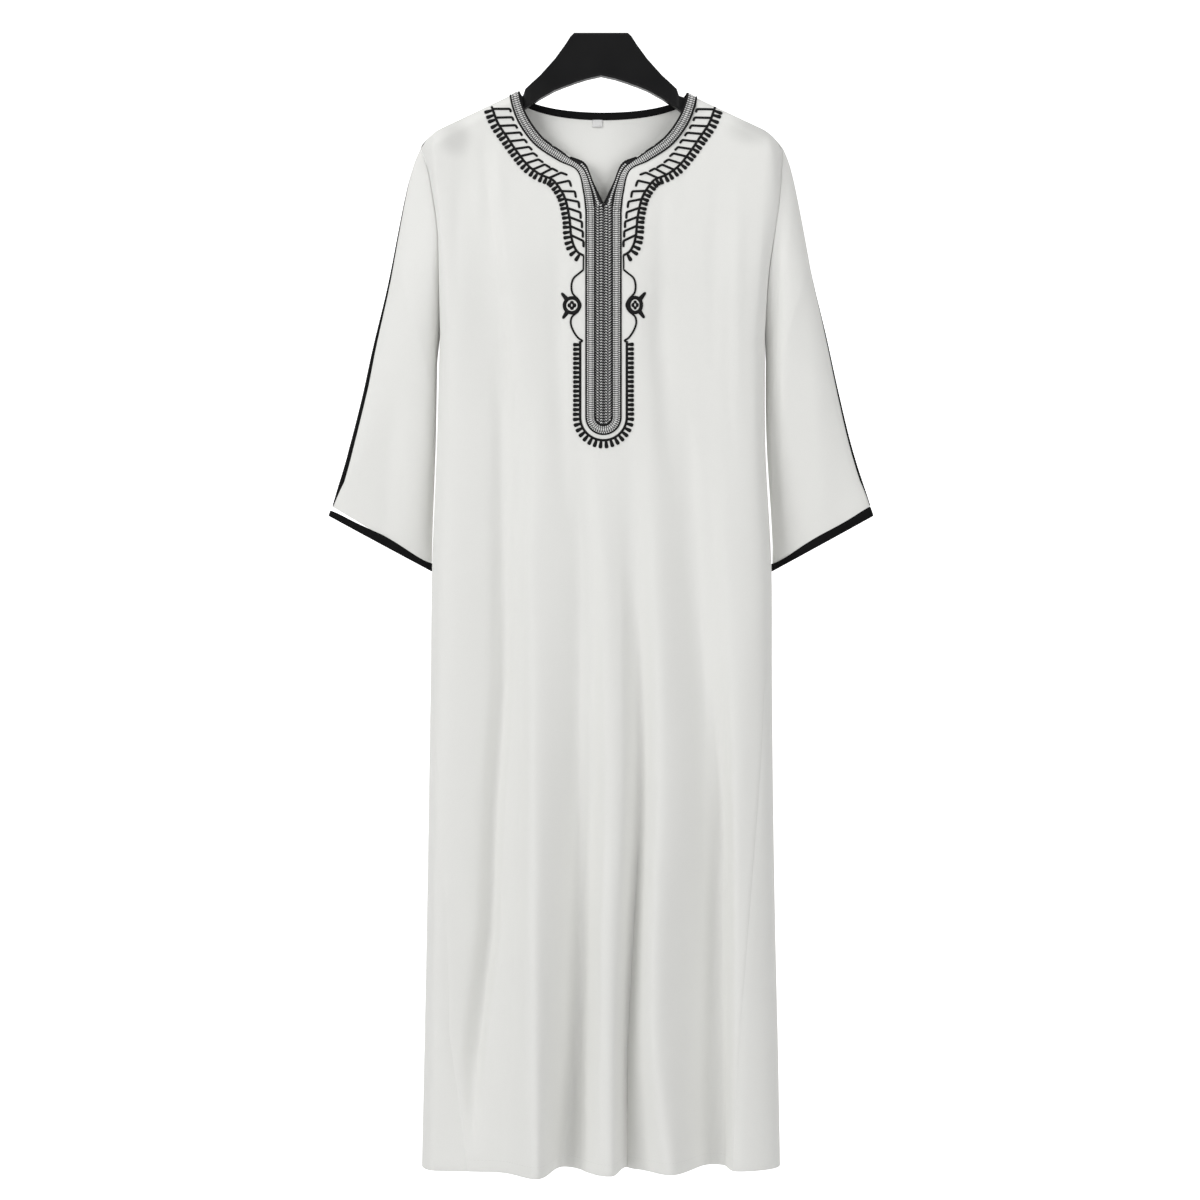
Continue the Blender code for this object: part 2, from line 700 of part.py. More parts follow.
def front_panel(material):
    rows, inward, numbers = panel_grid("front")
    points, forced = flatten(rows, inward)
    faces = [face[::-1] for face in grid_faces(len(rows), len(numbers))]
    for side in ("left", "right"):
        first, last = FRONT_NECK[side]
        picked = [k for k, number in enumerate(numbers) if first - 0.01 < number < last + 0.01]
        if side == "right":
            picked = picked[::-1]
        edge, inner = collar_lines(side)
        patch = [edge, inner, [rows[0, k] for k in picked]]
        offset = len(points)
        for row in patch:
            points += row
            forced += [seam_direction(row[0][0])] + [None] * (len(row) - 1)
        strip = grid_faces(3, len(edge), offset)
        faces += [face[::-1] for face in strip] if side == "left" else strip
    surface = wall("front_panel", points, faces, material, CLOTH, forced)
    return rows, list(numbers), surface


def back_panel(material):
    rows, inward, numbers = panel_grid("back")
    points, forced = flatten(rows, inward)
    faces = [face[::-1] for face in grid_faces(len(rows), len(numbers))]
    wall("back_panel", points, faces, material, CLOTH, forced)


def back_neck_binding(material):
    """Black edging of the back neck, from one shoulder seam to the other."""
    steps = sum(BACK_STEPS[3:7])
    rows = []
    for out in (0.0, BACK_BAND - SEAM_GAP):
        row = []
        for k in range(steps + 1):
            x, z = back_neck_point(k / steps, out)
            if k in (0, steps):
                row.append(np.array((x, SEAM_GAP / 2, shoulder_height(x))))
            else:
                row.append(np.array((x, shoulder_depth(x, z, "back"), z)))
        rows.append(row)
    forced = []
    for row in rows:
        between = [shoulder_inward(point[0], point[2], "back") for point in row[1:-1]]
        forced += [seam_direction(row[0][0])] + between + [seam_direction(row[-1][0])]
    faces = [face[::-1] for face in grid_faces(2, steps + 1)]
    wall("back_neck_binding", rows[0] + rows[1], faces, material, CLOTH, forced)


def size_label(material):
    """Small blank label on the inside of the back panel, under the neck binding."""
    half_width, height = LABEL_SIZE[0] / 2, LABEL_SIZE[1]
    points = []
    for z in (LABEL_TOP, LABEL_TOP - height):
        for x in (-half_width, 0.0, half_width):
            depth = shoulder_depth(LABEL_X + x, z, "back") - CLOTH - LIFT - LABEL_THICK
            points.append(np.array((LABEL_X + x, depth, z)))
    faces = [face[::-1] for face in grid_faces(2, 3)]
    wall("size_label", points, faces, material, LABEL_THICK)


def side_gore(side, material):
    """Long triangle let into the side seam, as a stretch of the body's ring."""
    middle = FOLD_COUNT if side == "left" else RIGHT_SIDE
    rows, inward = [], []
    for z in [level for level in LOWER_ROWS if level <= GORE_FIRST_ROW]:
        front, back = gore_seam(side, z, "front"), gore_seam(side, z, "back")
        first, last = (-back, front) if side == "left" else (-front, back)
        points, directions = ring_row(z, np.linspace(middle + first, middle + last, GORE_COLUMNS + 1))
        rows.append(points)
        inward.append(list(directions))
    rows = pull_in(np.array(rows), SEAM_GAP / 2)
    points, forced = flatten(rows, inward)
    faces = [face[::-1] for face in grid_faces(len(rows), GORE_COLUMNS + 1)]
    wall(side + "_gore", points, faces, material, CLOTH, forced)


# The sleeves

def sleeve_fold(side, t, which):
    """Outer or inner fold of the sleeve at a share of its length."""
    sign = -1.0 if side == "left" else 1.0
    if which == "outer":
        z = TIP_Z + (SLEEVE_OUTER[-1][0] - TIP_Z) * t
        x = curve_through([row[0] for row in SLEEVE_OUTER], [row[1] for row in SLEEVE_OUTER], z)
        start = abs(armhole(side, 1.0, "front")[0]) - SLEEVE_OUTER[0][1]
        return np.array((sign * (x + start * (1.0 - t) ** 4), CUFF_OUTER_Y * t, z))
    z = UNDERARM_Z + (CUFF_INNER_Z - UNDERARM_Z) * t
    across = FRONT_ACROSS[side + "_side"]
    x = abs(curve_through(list(LEVELS.values()), across, z)) * MM
    clear = SLEEVE_CLEAR * min(t / 0.12, 1.0)
    return np.array((sign * (x + clear), UNDERARM_Y + (CUFF_INNER_Y - UNDERARM_Y) * t, z))


def sleeve_point(side, share, t, face):
    """Point of the sleeve: share 0 at the inner fold and 1 at the outer fold."""
    inner, outer = sleeve_fold(side, t, "inner"), sleeve_fold(side, t, "outer")
    column = 1 if face == "front" else 2
    depth = np.interp(t, [row[0] for row in SLEEVE_DEPTH], [row[column] for row in SLEEVE_DEPTH])
    point = inner + (outer - inner) * share
    bulge = depth * math.sqrt(max(4.0 * share * (1.0 - share), 0.0))
    point[1] += -bulge if face == "front" else bulge
    return point


def sleeve_ring(side, t):
    """Closed ring, from the shoulder down the front to the underarm and up the back."""
    places = [(share, "front") for share in UPPER_ROWS[::-1]]
    places += [(share, "back") for share in UPPER_ROWS[1:-1]]
    hold = 1.0 - float(ease(t / 0.5))
    ring = []
    for share, face in places:
        point = sleeve_point(side, share, t, face)
        seam = armhole(side, share, face) - sleeve_point(side, share, 0.0, face)
        ring.append(point + seam * hold)
    return np.array(ring)


def ring_inward(ring, towards):
    """Directions into a closed ring, square to it and to the way towards the next ring."""
    along = np.roll(ring, -1, axis=0) - np.roll(ring, 1, axis=0)
    direction = unit(np.cross(along, towards - ring))
    centre = ring.mean(axis=0)
    flip = np.sign(np.einsum("ij,ij->i", direction, centre - ring))
    return direction * flip[:, None]


def sleeve(side, material):
    """Sleeve from the armhole seam to the cuff seam, and the two rings of the cuff."""
    rows = [sleeve_ring(side, t) for t in SLEEVE_ROWS]
    cuff = [rows[-2].copy(), rows[-1].copy()]
    down = unit(rows[-1] - rows[-2])
    seam_inward = ring_inward(rows[-2], rows[-1])
    rows = rows[:-1]
    rows[0][:, 0] += np.sign(rows[0][:, 0]) * SEAM_GAP / 2
    rows[-1] = rows[-1] - down * SEAM_GAP / 2
    cuff[0] = cuff[0] + down * SEAM_GAP / 2
    shares = [(share, "front") for share in UPPER_ROWS[::-1]]
    shares += [(share, "back") for share in UPPER_ROWS[1:-1]]
    armhole_directions = [armhole_inward(share, face) for share, face in shares]
    count = len(rows[0])
    points = [point for row in rows for point in row]
    forced = list(armhole_directions) + [None] * (count * (len(rows) - 2)) + list(seam_inward)
    faces = grid_faces(len(rows), count, closed=True)
    faces = faces if side == "right" else [face[::-1] for face in faces]
    surface = wall(side + "_sleeve", points, faces, material, CLOTH, forced)
    return rows, cuff, seam_inward, surface


def cuff_binding(side, cuff, seam_inward, material):
    count = len(cuff[0])
    faces = grid_faces(2, count, closed=True)
    faces = faces if side == "right" else [face[::-1] for face in faces]
    points = list(cuff[0]) + list(cuff[1])
    wall(side + "_cuff_binding", points, faces, material, CLOTH, list(seam_inward) * 2)


def sleeve_piping(side, rows, surface, material):
    """Black braid along the sleeve's outer fold, from the armhole to the cuff."""
    columns = PIPING_COLUMNS[side]
    strip = [[row[k] for k in columns] for row in rows]
    points = [point for row in strip for point in row]
    faces = grid_faces(len(strip), len(columns))
    faces = faces if side == "right" else [face[::-1] for face in faces]
    wall(side + "_sleeve_piping", points, faces, material, BRAID, directions_at(points, surface),
         outward=LIFT + BRAID)


# The braids on the front

def on_rows(rows, x, upper, lower):
    """Point between two rows of the front panel, at a place across and a level."""
    z = x[1]
    depths = [float(np.interp(x[0], rows[k][:, 0], rows[k][:, 1])) for k in (upper, lower)]
    share = (rows[upper][0, 2] - z) / (rows[upper][0, 2] - rows[lower][0, 2])
    return np.array((x[0], depths[0] + (depths[1] - depths[0]) * share, z))


def placket_rows(rows):
    """Rows of the front panel from just under the slit to the level where the ends turn."""
    turn = len(UPPER_ROWS) + LOWER_ROWS.index(PLACKET_ROUND_Z)
    return list(range(1, turn + 1)), turn


def placket_turn(rows, turn, radius, angle):
    place = (AXIS_X - radius * math.cos(angle), PLACKET_ROUND_Z - radius * math.sin(angle))
    return on_rows(rows, place, turn, turn + 1)


def neck_braid(rows, numbers, surface, material):
    """Braid band: left shoulder, down beside the slit, round the placket's foot, and back up."""
    levels, turn = placket_rows(rows)
    halves = {}
    for side, offset in (("left", -1), ("right", 1)):
        inner, line = collar_lines(side)[1], collar_outer(side, rows, numbers)
        inner_column = numbers.index(7.0 + 0.5 * offset)
        line_column = numbers.index(7.0 + offset)
        inner = inner + [rows[k, inner_column] for k in levels]
        line = line + [rows[k, line_column] for k in levels]
        halves[side] = (inner, line)
    reach = (AXIS_X - halves["left"][0][-1][0], AXIS_X - halves["left"][1][-1][0])
    angles = [math.pi * k / PLACKET_TURN_STEPS for k in range(1, PLACKET_TURN_STEPS)]
    turns = [[placket_turn(rows, turn, radius, angle) for angle in angles] for radius in reach]
    strip = [halves["left"][k] + turns[k] + halves["right"][k][::-1] for k in (0, 1)]
    faces = [face[::-1] for face in grid_faces(2, len(strip[0]))]
    points = strip[0] + strip[1]
    wall("neck_braid", points, faces, material, BRAID, directions_at(points, surface),
         outward=LIFT + BRAID)


def collar_outer(side, rows, numbers):
    first, last = FRONT_NECK[side]
    picked = [k for k, number in enumerate(numbers) if first - 0.01 < number < last + 0.01]
    return [rows[0, k] for k in (picked if side == "left" else picked[::-1])]


def placket_braid(rows, numbers, surface, material):
    """Centre strip of the placket, from the foot of the slit to its round end."""
    levels, turn = placket_rows(rows)
    columns = [numbers.index(value) for value in (6.5, 7.0, 7.5)]
    strip = [[rows[k, column].copy() for column in columns] for k in [0] + levels]
    radius = AXIS_X - strip[-1][0][0]
    for angle in (math.radians(30.0), math.radians(60.0), math.radians(85.0)):
        left = placket_turn(rows, turn, radius, angle)
        right = placket_turn(rows, turn, radius, math.pi - angle)
        strip.append([left, placket_turn(rows, turn, abs(left[2] - PLACKET_ROUND_Z), math.pi / 2),
                      right])
    for row in strip:
        row[0] = row[0] + np.array((2 * SEAM_GAP, 0.0, 0.0))
        row[2] = row[2] - np.array((2 * SEAM_GAP, 0.0, 0.0))
    for place in strip[-1]:
        place[2] += 2 * SEAM_GAP
    points = [point for row in strip for point in row]
    faces = [face[::-1] for face in grid_faces(len(strip), 3)]
    wall("placket_braid", points, faces, material, BRAID, directions_at(points, surface),
         outward=LIFT + BRAID)


# The hanger

def hanger_section(x, top, bottom, half, arm):
    """Closed outline square to the hanger: a crown as round as the cloth over it, flat sides."""
    crown = round_radius(x) - HANGER_INSIDE_ROUND
    outline = []
    for part in (-1.0, -0.75, -0.35, 0.0, 0.35, 0.75, 1.0):
        y = part * half
        if arm:
            drop = crown * (1.0 - math.sqrt(max(1.0 - (y / crown) ** 2, 0.0)))
        else:
            drop = HANGER_EDGE if abs(part) == 1.0 else 0.0
        outline.append((x, y, top - drop))
    foot = bottom + HANGER_FOOT_EDGE
    outline += [(x, half, foot), (x, 0.8 * half, bottom), (x, -0.8 * half, bottom),
                (x, -half, foot)]
    return outline


def hanger_stations():
    stations = [(x, top, bottom, half, x > 0.096) for x, top, bottom, half in HANGER_STATIONS]
    for x in HANGER_ARM:
        share = (x - HANGER_ARM[0]) / (HANGER_ARM[-1] - HANGER_ARM[0])
        shrink = {HANGER_ARM[-1]: 0.55, HANGER_ARM[-2]: 0.88}.get(x, 1.0)
        top = shoulder_height(x) - HANGER_UNDER_CLOTH - HANGER_TIP_DIP * (1.0 - shrink)
        top -= HANGER_NECK_DIP * (1.0 - min(share * 3.0, 1.0))
        half = (HANGER_NECK_DEPTH + (HANGER_TIP_DEPTH - HANGER_NECK_DEPTH) * share) * shrink
        stations.append((x, top, top - HANGER_ARM_HEIGHT * shrink, half, True))
    mirrored = [(-x, top, bottom, half, arm) for x, top, bottom, half, arm in stations[:0:-1]]
    return mirrored + stations


def hanger(material):
    """Moulded hanger: one loft from end to end, with a blind hole on top for a hook."""
    sections = [hanger_section(*station) for station in hanger_stations()]
    count = len(sections[0])
    points = [point for section in sections for point in section]
    faces = grid_faces(len(sections), count, closed=True)
    faces.append(tuple(range(count))[::-1])
    faces.append(tuple(range(len(points) - count, len(points))))
    mesh = bpy.data.meshes.new("hanger")
    mesh.from_pydata(points, [], faces)
    fixer = bmesh.new()
    fixer.from_mesh(mesh)
    bmesh.ops.recalc_face_normals(fixer, faces=fixer.faces)
    bmesh.ops.triangulate(fixer, faces=fixer.faces)
    fixer.to_mesh(mesh)
    fixer.free()
    item = bpy.data.objects.new("hanger", mesh)
    bpy.context.scene.collection.objects.link(item)
    item.data.materials.append(material)
    bpy.ops.mesh.primitive_cylinder_add(vertices=16, radius=HOOK_HOLE_RADIUS,
                                        depth=2 * HOOK_HOLE_DEPTH, location=(0.0, 0.0, 0.0))
    drill = bpy.context.active_object
    drill.name = "hook_hole"
    drill.hide_render = True
    drill.display_type = "WIRE"
    cut = item.modifiers.new("hook_hole", "BOOLEAN")
    cut.operation = "DIFFERENCE"
    cut.solver = "EXACT"
    cut.object = drill
    shade(item)


def main():
    clear_scene()
    cloth = make_material("robe_cloth", CLOTH_LOOK)
    black = make_material("black_binding", BLACK_LOOK)
    braid = make_material("braid", BRAID_LOOK)
    rows, numbers, surface = front_panel(cloth)
    back_panel(cloth)
    back_neck_binding(black)
    size_label(make_material("label", LABEL_LOOK))
    for side in ("left", "right"):
        side_gore(side, cloth)
        sleeve_rows, cuff, seam_inward, sleeve_surface = sleeve(side, cloth)
        cuff_binding(side, cuff, seam_inward, black)
        sleeve_piping(side, sleeve_rows, sleeve_surface, black)
    neck_braid(rows, numbers, surface, braid)
    placket_braid(rows, numbers, surface, braid)
    hanger(make_material("hanger_plastic", PLASTIC_LOOK))


main()
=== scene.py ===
"""Embroidered robe on a moulded hanger: the looks, piece by piece as it is put together.

Metres, +Z up. The front of the robe faces -Y, and the origin is on top of the hanger.
"""

import math

import bpy
import numpy as np
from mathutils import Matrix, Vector, noise
from mathutils.bvhtree import BVHTree


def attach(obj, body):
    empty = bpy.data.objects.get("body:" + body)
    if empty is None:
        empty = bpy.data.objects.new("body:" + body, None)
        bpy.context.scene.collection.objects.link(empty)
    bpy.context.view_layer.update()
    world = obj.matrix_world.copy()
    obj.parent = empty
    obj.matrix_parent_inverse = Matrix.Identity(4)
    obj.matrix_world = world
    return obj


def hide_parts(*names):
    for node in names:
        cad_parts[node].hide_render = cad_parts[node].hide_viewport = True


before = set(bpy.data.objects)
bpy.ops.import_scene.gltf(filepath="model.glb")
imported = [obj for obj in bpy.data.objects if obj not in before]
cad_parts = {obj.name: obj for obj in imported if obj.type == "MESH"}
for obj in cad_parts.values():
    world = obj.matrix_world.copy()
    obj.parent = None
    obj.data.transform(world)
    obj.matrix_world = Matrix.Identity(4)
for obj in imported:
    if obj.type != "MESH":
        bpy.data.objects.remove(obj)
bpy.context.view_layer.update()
scene = bpy.context.scene


# The room: a plain pale sweep that runs up behind the robe, two broad soft lights in front and
# one above, and a straight-on camera level with the middle of the robe.

CAMERA_PLACE = (-0.0013, -3.0, -0.708)
CAMERA_LENS = 72.0
SWEEP_FLOOR_Z = -1.95
SWEEP_BACK_Y = 4.8
SWEEP_BEND = 3.1
SWEEP_HALF_WIDTH = 6.0
SWEEP_COLOUR = (0.93, 0.93, 0.93)
SWEEP_ROUGHNESS = 0.9
WHITE = (1.0, 1.0, 1.0, 1.0)
SWEEP_GLOW = 0.8
AIR_LIGHT = 0.32
# Each light: where it stands, how wide it is and its power
SOFT_LIGHTS = {
    "light_left": ((-2.7, -2.4, 0.5), 1.8, 67.0),
    "light_right": ((2.4, -2.7, -0.2), 2.2, 35.0),
    "light_above": ((0.0, -0.5, 1.9), 1.2, 18.0),
}


def linked(item):
    scene.collection.objects.link(item)
    return item


def plain_mesh(name, points, faces, material, smooth=True):
    """Object from points and faces, with its material."""
    mesh = bpy.data.meshes.new(name)
    mesh.from_pydata([tuple(point) for point in points], [], [tuple(face) for face in faces])
    mesh.materials.append(material)
    mesh.polygons.foreach_set("use_smooth", [smooth] * len(mesh.polygons))
    mesh.update()
    return linked(bpy.data.objects.new(name, mesh))


def principled(name, colour, roughness, **values):
    """New material, its node tree and its shader, with plain values: underscores for spaces."""
    material = bpy.data.materials.new(name)
    material.use_nodes = True
    shader = material.node_tree.nodes["Principled BSDF"]
    shader.inputs["Base Color"].default_value = (*colour, 1.0)
    shader.inputs["Roughness"].default_value = roughness
    for key, value in values.items():
        shader.inputs[key.replace("_", " ")].default_value = value
    return material, material.node_tree, shader


def sweep_profile():
    profile = [(-4.5, SWEEP_FLOOR_Z), (SWEEP_BACK_Y - SWEEP_BEND, SWEEP_FLOOR_Z)]
    for angle in np.linspace(0.0, math.pi / 2, 13)[1:]:
        profile.append((SWEEP_BACK_Y - SWEEP_BEND + SWEEP_BEND * math.sin(angle),
                        SWEEP_FLOOR_Z + SWEEP_BEND * (1.0 - math.cos(angle))))
    profile.append((SWEEP_BACK_Y, 4.5))
    return profile


camera_data = bpy.data.cameras.new("camera")
camera_data.lens = CAMERA_LENS
camera = linked(bpy.data.objects.new("camera", camera_data))
camera.location = CAMERA_PLACE
camera.rotation_euler = (math.pi / 2, 0.0, 0.0)
scene.camera = camera

for name, profile, glow in (("sweep_floor", sweep_profile()[:2], 0.0),
                            ("sweep_back", sweep_profile()[1:], SWEEP_GLOW)):
    paper = principled(name + "_paper", SWEEP_COLOUR, SWEEP_ROUGHNESS, Emission_Color=WHITE,
                       Emission_Strength=glow)[0]
    plain_mesh(
        name, [(side * SWEEP_HALF_WIDTH, y, z) for y, z in profile for side in (-1, 1)],
        [(2 * k, 2 * k + 1, 2 * k + 3, 2 * k + 2) for k in range(len(profile) - 1)], paper)

world = bpy.data.worlds.new("studio_air")
world.use_nodes = True
air = world.node_tree.nodes["Background"]
air.inputs["Color"].default_value = WHITE
air.inputs["Strength"].default_value = AIR_LIGHT
scene.world = world
scene.view_settings.view_transform = "Standard"

for light_name, (place, width, power) in SOFT_LIGHTS.items():
    light_data = bpy.data.lights.new(light_name, "AREA")
    light_data.shape = "SQUARE"
    light_data.size = width
    light_data.energy = power
    light = linked(bpy.data.objects.new(light_name, light_data))
    light.location = place
    aim = Vector((0.0, 0.0, -0.7)) - light.location
    light.rotation_euler = aim.to_track_quat("-Z", "Y").to_euler()


# The hanger: one moulding of black plastic with a fine satin grain, a little duller where hands
# and cloth rub it. It keeps the shape that holds the shoulders.

PLASTIC_BLACK = (0.0030, 0.0030, 0.0034)
PLASTIC_GRAIN_SIZE = 0.0009
PLASTIC_GRAIN_HEIGHT = 0.00004


def node_of(tree, kind, inputs=(), **settings):
    """New node, with its settings and the values or links of its inputs."""
    node = tree.nodes.new(kind)
    for key, value in settings.items():
        setattr(node, key, value)
    for key, value in dict(inputs).items():
        if isinstance(value, bpy.types.NodeSocket):
            tree.links.new(value, node.inputs[key])
        else:
            node.inputs[key].default_value = value
    return node


def new_group(name, inputs, outputs):
    """Shader node group with named inputs and outputs, and its two end nodes."""
    group = bpy.data.node_groups.new(name, "ShaderNodeTree")
    for socket, kind, value in inputs:
        made = group.interface.new_socket(socket, in_out="INPUT", socket_type="NodeSocket" + kind)
        made.default_value = value
    for socket, kind in outputs:
        group.interface.new_socket(socket, in_out="OUTPUT", socket_type="NodeSocket" + kind)
    return group, group.nodes.new("NodeGroupInput"), group.nodes.new("NodeGroupOutput")


def place_group(tree, group, **values):
    """The group placed in a material, with its own values: underscores stand for spaces."""
    inputs = {key.replace("_", " "): value for key, value in values.items()}
    return node_of(tree, "ShaderNodeGroup", inputs, node_tree=group)


def number_of(tree, operation, *values):
    """Result of a sum on values or links."""
    return node_of(tree, "ShaderNodeMath", dict(enumerate(values)), operation=operation).outputs[0]


def scaled_colour(tree, colour, share):
    return node_of(tree, "ShaderNodeVectorMath", {0: colour, "Scale": share}, operation="SCALE")


def put_out(group, out, **nodes):
    for name, node in nodes.items():
        group.links.new(node.outputs[0], out.inputs[name])


def looks_of(node):
    """Colour and roughness of a placed group, for the shader."""
    return {"Base Color": node.outputs["Colour"], "Roughness": node.outputs["Roughness"]}


def join_surface(tree, shader, feeds, height=None, strength=0.0, depth=0.0):
    """Feeds the shader's inputs, and its normal from a height on the surface."""
    if height is not None:
        bump = {"Height": height, "Strength": strength, "Distance": depth}
        feeds["Normal"] = node_of(tree, "ShaderNodeBump", bump).outputs[0]
    for key, value in feeds.items():
        tree.links.new(value, shader.inputs[key])


def uneven_tone_group():
    """Slow unevenness of a surface: a mask from 0 to 1 and a colour that it darkens."""
    group, given, out = new_group(
        "uneven_tone",
        (("Colour", "Color", (1.0, 1.0, 1.0, 1.0)), ("Patch size", "Float", 0.1),
         ("Darkening", "Float", 0.05), ("Rough low", "Float", 0.5), ("Rough high", "Float", 0.6)),
        (("Colour", "Color"), ("Mask", "Float"), ("Roughness", "Float")))
    place = node_of(group, "ShaderNodeNewGeometry")
    scale = number_of(group, "DIVIDE", 1.0, given.outputs["Patch size"])
    clouds = node_of(group, "ShaderNodeTexNoise",
                     {"Vector": place.outputs["Position"], "Scale": scale,
                      "Detail": 3.0, "Roughness": 0.55})
    mask = node_of(group, "ShaderNodeMapRange",
                   {"Value": clouds.outputs["Fac"], "From Min": 0.3, "From Max": 0.7})
    share = number_of(group, "MULTIPLY", mask.outputs[0], given.outputs["Darkening"])
    keep = number_of(group, "SUBTRACT", 1.0, share)
    colour = scaled_colour(group, given.outputs["Colour"], keep)
    rough = node_of(group, "ShaderNodeMapRange",
                    {"Value": mask.outputs[0], "To Min": given.outputs["Rough low"],
                     "To Max": given.outputs["Rough high"]})
    put_out(group, out, Colour=colour, Mask=mask, Roughness=rough)
    return group


UNEVEN_TONE = uneven_tone_group()


def plastic_material():
    material, tree, shader = principled("hanger_plastic", PLASTIC_BLACK, 0.42,
                                        Specular_IOR_Level=0.25)
    tone = place_group(tree, UNEVEN_TONE, Colour=(*PLASTIC_BLACK, 1.0), Patch_size=0.05,
                       Darkening=0.25, Rough_low=0.36, Rough_high=0.50)
    place = node_of(tree, "ShaderNodeNewGeometry")
    grain = node_of(tree, "ShaderNodeTexNoise",
                    {"Vector": place.outputs["Position"], "Scale": 1.0 / PLASTIC_GRAIN_SIZE,
                     "Detail": 2.0})
    join_surface(tree, shader, looks_of(tone), grain.outputs["Fac"], 0.6, PLASTIC_GRAIN_HEIGHT)
    return material


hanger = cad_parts["hanger"]
hanger.data.materials.clear()
hanger.data.materials.append(plastic_material())


# The body cloth: light matte crepe, off-white, that hangs in long soft folds from the hanger.
# At each level the body is one closed outline through its folds, front left to right and then
# back right to left. Each panel is a stretch of it, sewn to its neighbours along the side.

MM = 0.001
AXIS_X = 0.003
UNDERARM_Z = -0.375
HEM_Z = -1.414
LEVELS = (-0.375, -0.520, -0.660, -0.810, -0.965, -1.117, -1.270, -1.414)
# Each fold of the front: how far across, then how deep, in mm at the levels above
FRONT_FOLDS = (
    ((-201.5, -205.5, -211, -213, -215.5, -218, -221, -224), (8, 7, 6, 5, 4, 3, 2, 0)),
    ((-190, -194, -199, -201, -203, -205, -208, -212), (-28, -28, -28, -28, -28, -28, -28, -28)),
    ((-139, -126, -129, -135, -141, -146, -160, -166), (-32, -30, -28, -26, -24, -23, -26, -34)),
    ((-117, -113, -117, -121, -124, -126, -130, -128), (-35, -34, -35, -36, -38, -38, -40, -42)),
    ((-96, -98, -106, -106, -106, -101, -94, -87), (-36, -38, -42, -50, -58, -66, -72, -75)),
    ((-55, -46, -43, -42, -42, -41, -47, -58), (-34, -34, -34, -32, -28, -22, -16, -8)),
    ((-18.5, -18.5, -21, -18, -16, -14, -10, -8), (-36, -37, -42, -48, -54, -60, -60, -58)),
    ((3, 3, 4, 4, 5, 6, 7, 9), (-36, -37, -40, -46, -52, -58, -60, -60)),
    ((24.5, 24.5, 31, 31, 31, 31, 29, 29), (-36, -36, -34, -28, -24, -18, -12, -6)),
    ((49, 52, 55, 55, 55, 55, 61, 82), (-37, -38, -42, -48, -54, -58, -56, -54)),
    ((74, 92, 101, 120, 136, 134, 131, 128), (-33, -31, -28, -22, -16, -10, -4, 0)),
    ((112, 118, 126, 138, 147, 149, 149, 149), (-34, -33, -32, -30, -26, -20, -12, -4)),
    ((151, 151, 151, 154, 157, 162, 164, 164), (-35, -35, -38, -40, -42, -44, -40, -34)),
    ((193, 193, 199, 201, 203, 205, 208, 211), (-28, -28, -28, -28, -28, -28, -26, -22)),
    ((205, 206, 213, 214, 215.5, 218, 221.5, 224), (8, 7, 6, 5, 4, 3, 2, 0)),
)
# Each fold of the back: across at chest and hem, depth at chest, waist and hem, in mm
BACK_FOLDS = (
    (193, 212, 32, 32, 34), (140, 150, 34, 31, 24), (95, 100, 37, 45, 68), (45, 50, 34, 32, 24),
    (0, 4, 38, 44, 64), (-48, -44, 34, 32, 24), (-95, -98, 37, 45, 70), (-142, -150, 34, 32, 26),
    (-190, -212, 32, 32, 34),
)
FOLD_COUNT = len(FRONT_FOLDS) + len(BACK_FOLDS)
RIGHT_SIDE = len(FRONT_FOLDS) - 1
LOWER_ROWS = np.linspace(UNDERARM_Z, HEM_Z, 150)
UPPER_ROWS = 1.0 - (1.0 - np.linspace(0.0, 1.0, 70)) ** 2.2

# The shoulders: the line over the hanger, and how round the cloth turns over it
SHOULDER_Z = -0.0735
SHOULDER_START = 0.1045
SHOULDER_SLOPE = 0.477
SHOULDER_BEND_START = 0.200
SHOULDER_BEND = 17.5
TIP_Z = -0.143
ROUND_NECK = 0.012
ROUND_TIP = 0.026
ROUND_END = 0.2145
FULL_DEPTH = 0.036
DEPTH_REACH = 0.24
# The armhole seam: height, and how far out on the left and on the right
ARMHOLE_Z = (-0.375, -0.300, -0.247, -0.208, -0.172, -0.143)
ARMHOLE_OUT = {"left": (0.2015, 0.2017, 0.2035, 0.2095, 0.2163, 0.2255),
               "right": (0.205, 0.2093, 0.217, 0.2225, 0.2255, 0.2275)}
TIP_LEFT, TIP_RIGHT = -ARMHOLE_OUT["left"][-1], ARMHOLE_OUT["right"][-1]
SIDES = {"left": -1.0, "right": 1.0}
ARMHOLE_SWELL = {"front": -0.021, "back": 0.024}
UNDERARM_Y = 0.008
# The side gores: height, and how many folds in from the side their seams lie
GORE_TOP_Z = -0.70
GORE_SEAMS = {
    ("left", "front"): ((0.70, 0.969, 1.244, 1.414), (0.0, 1.1, 1.43, 2.0)),
    ("left", "back"): ((0.70, 0.969, 1.244, 1.414), (0.0, 0.7, 1.15, 1.4)),
    ("right", "front"): ((0.70, 0.827, 1.016, 1.244, 1.414), (0.0, 0.95, 1.33, 1.8, 2.0)),
    ("right", "back"): ((0.70, 0.827, 1.016, 1.244, 1.414), (0.0, 0.3, 0.75, 1.15, 1.4)),
}


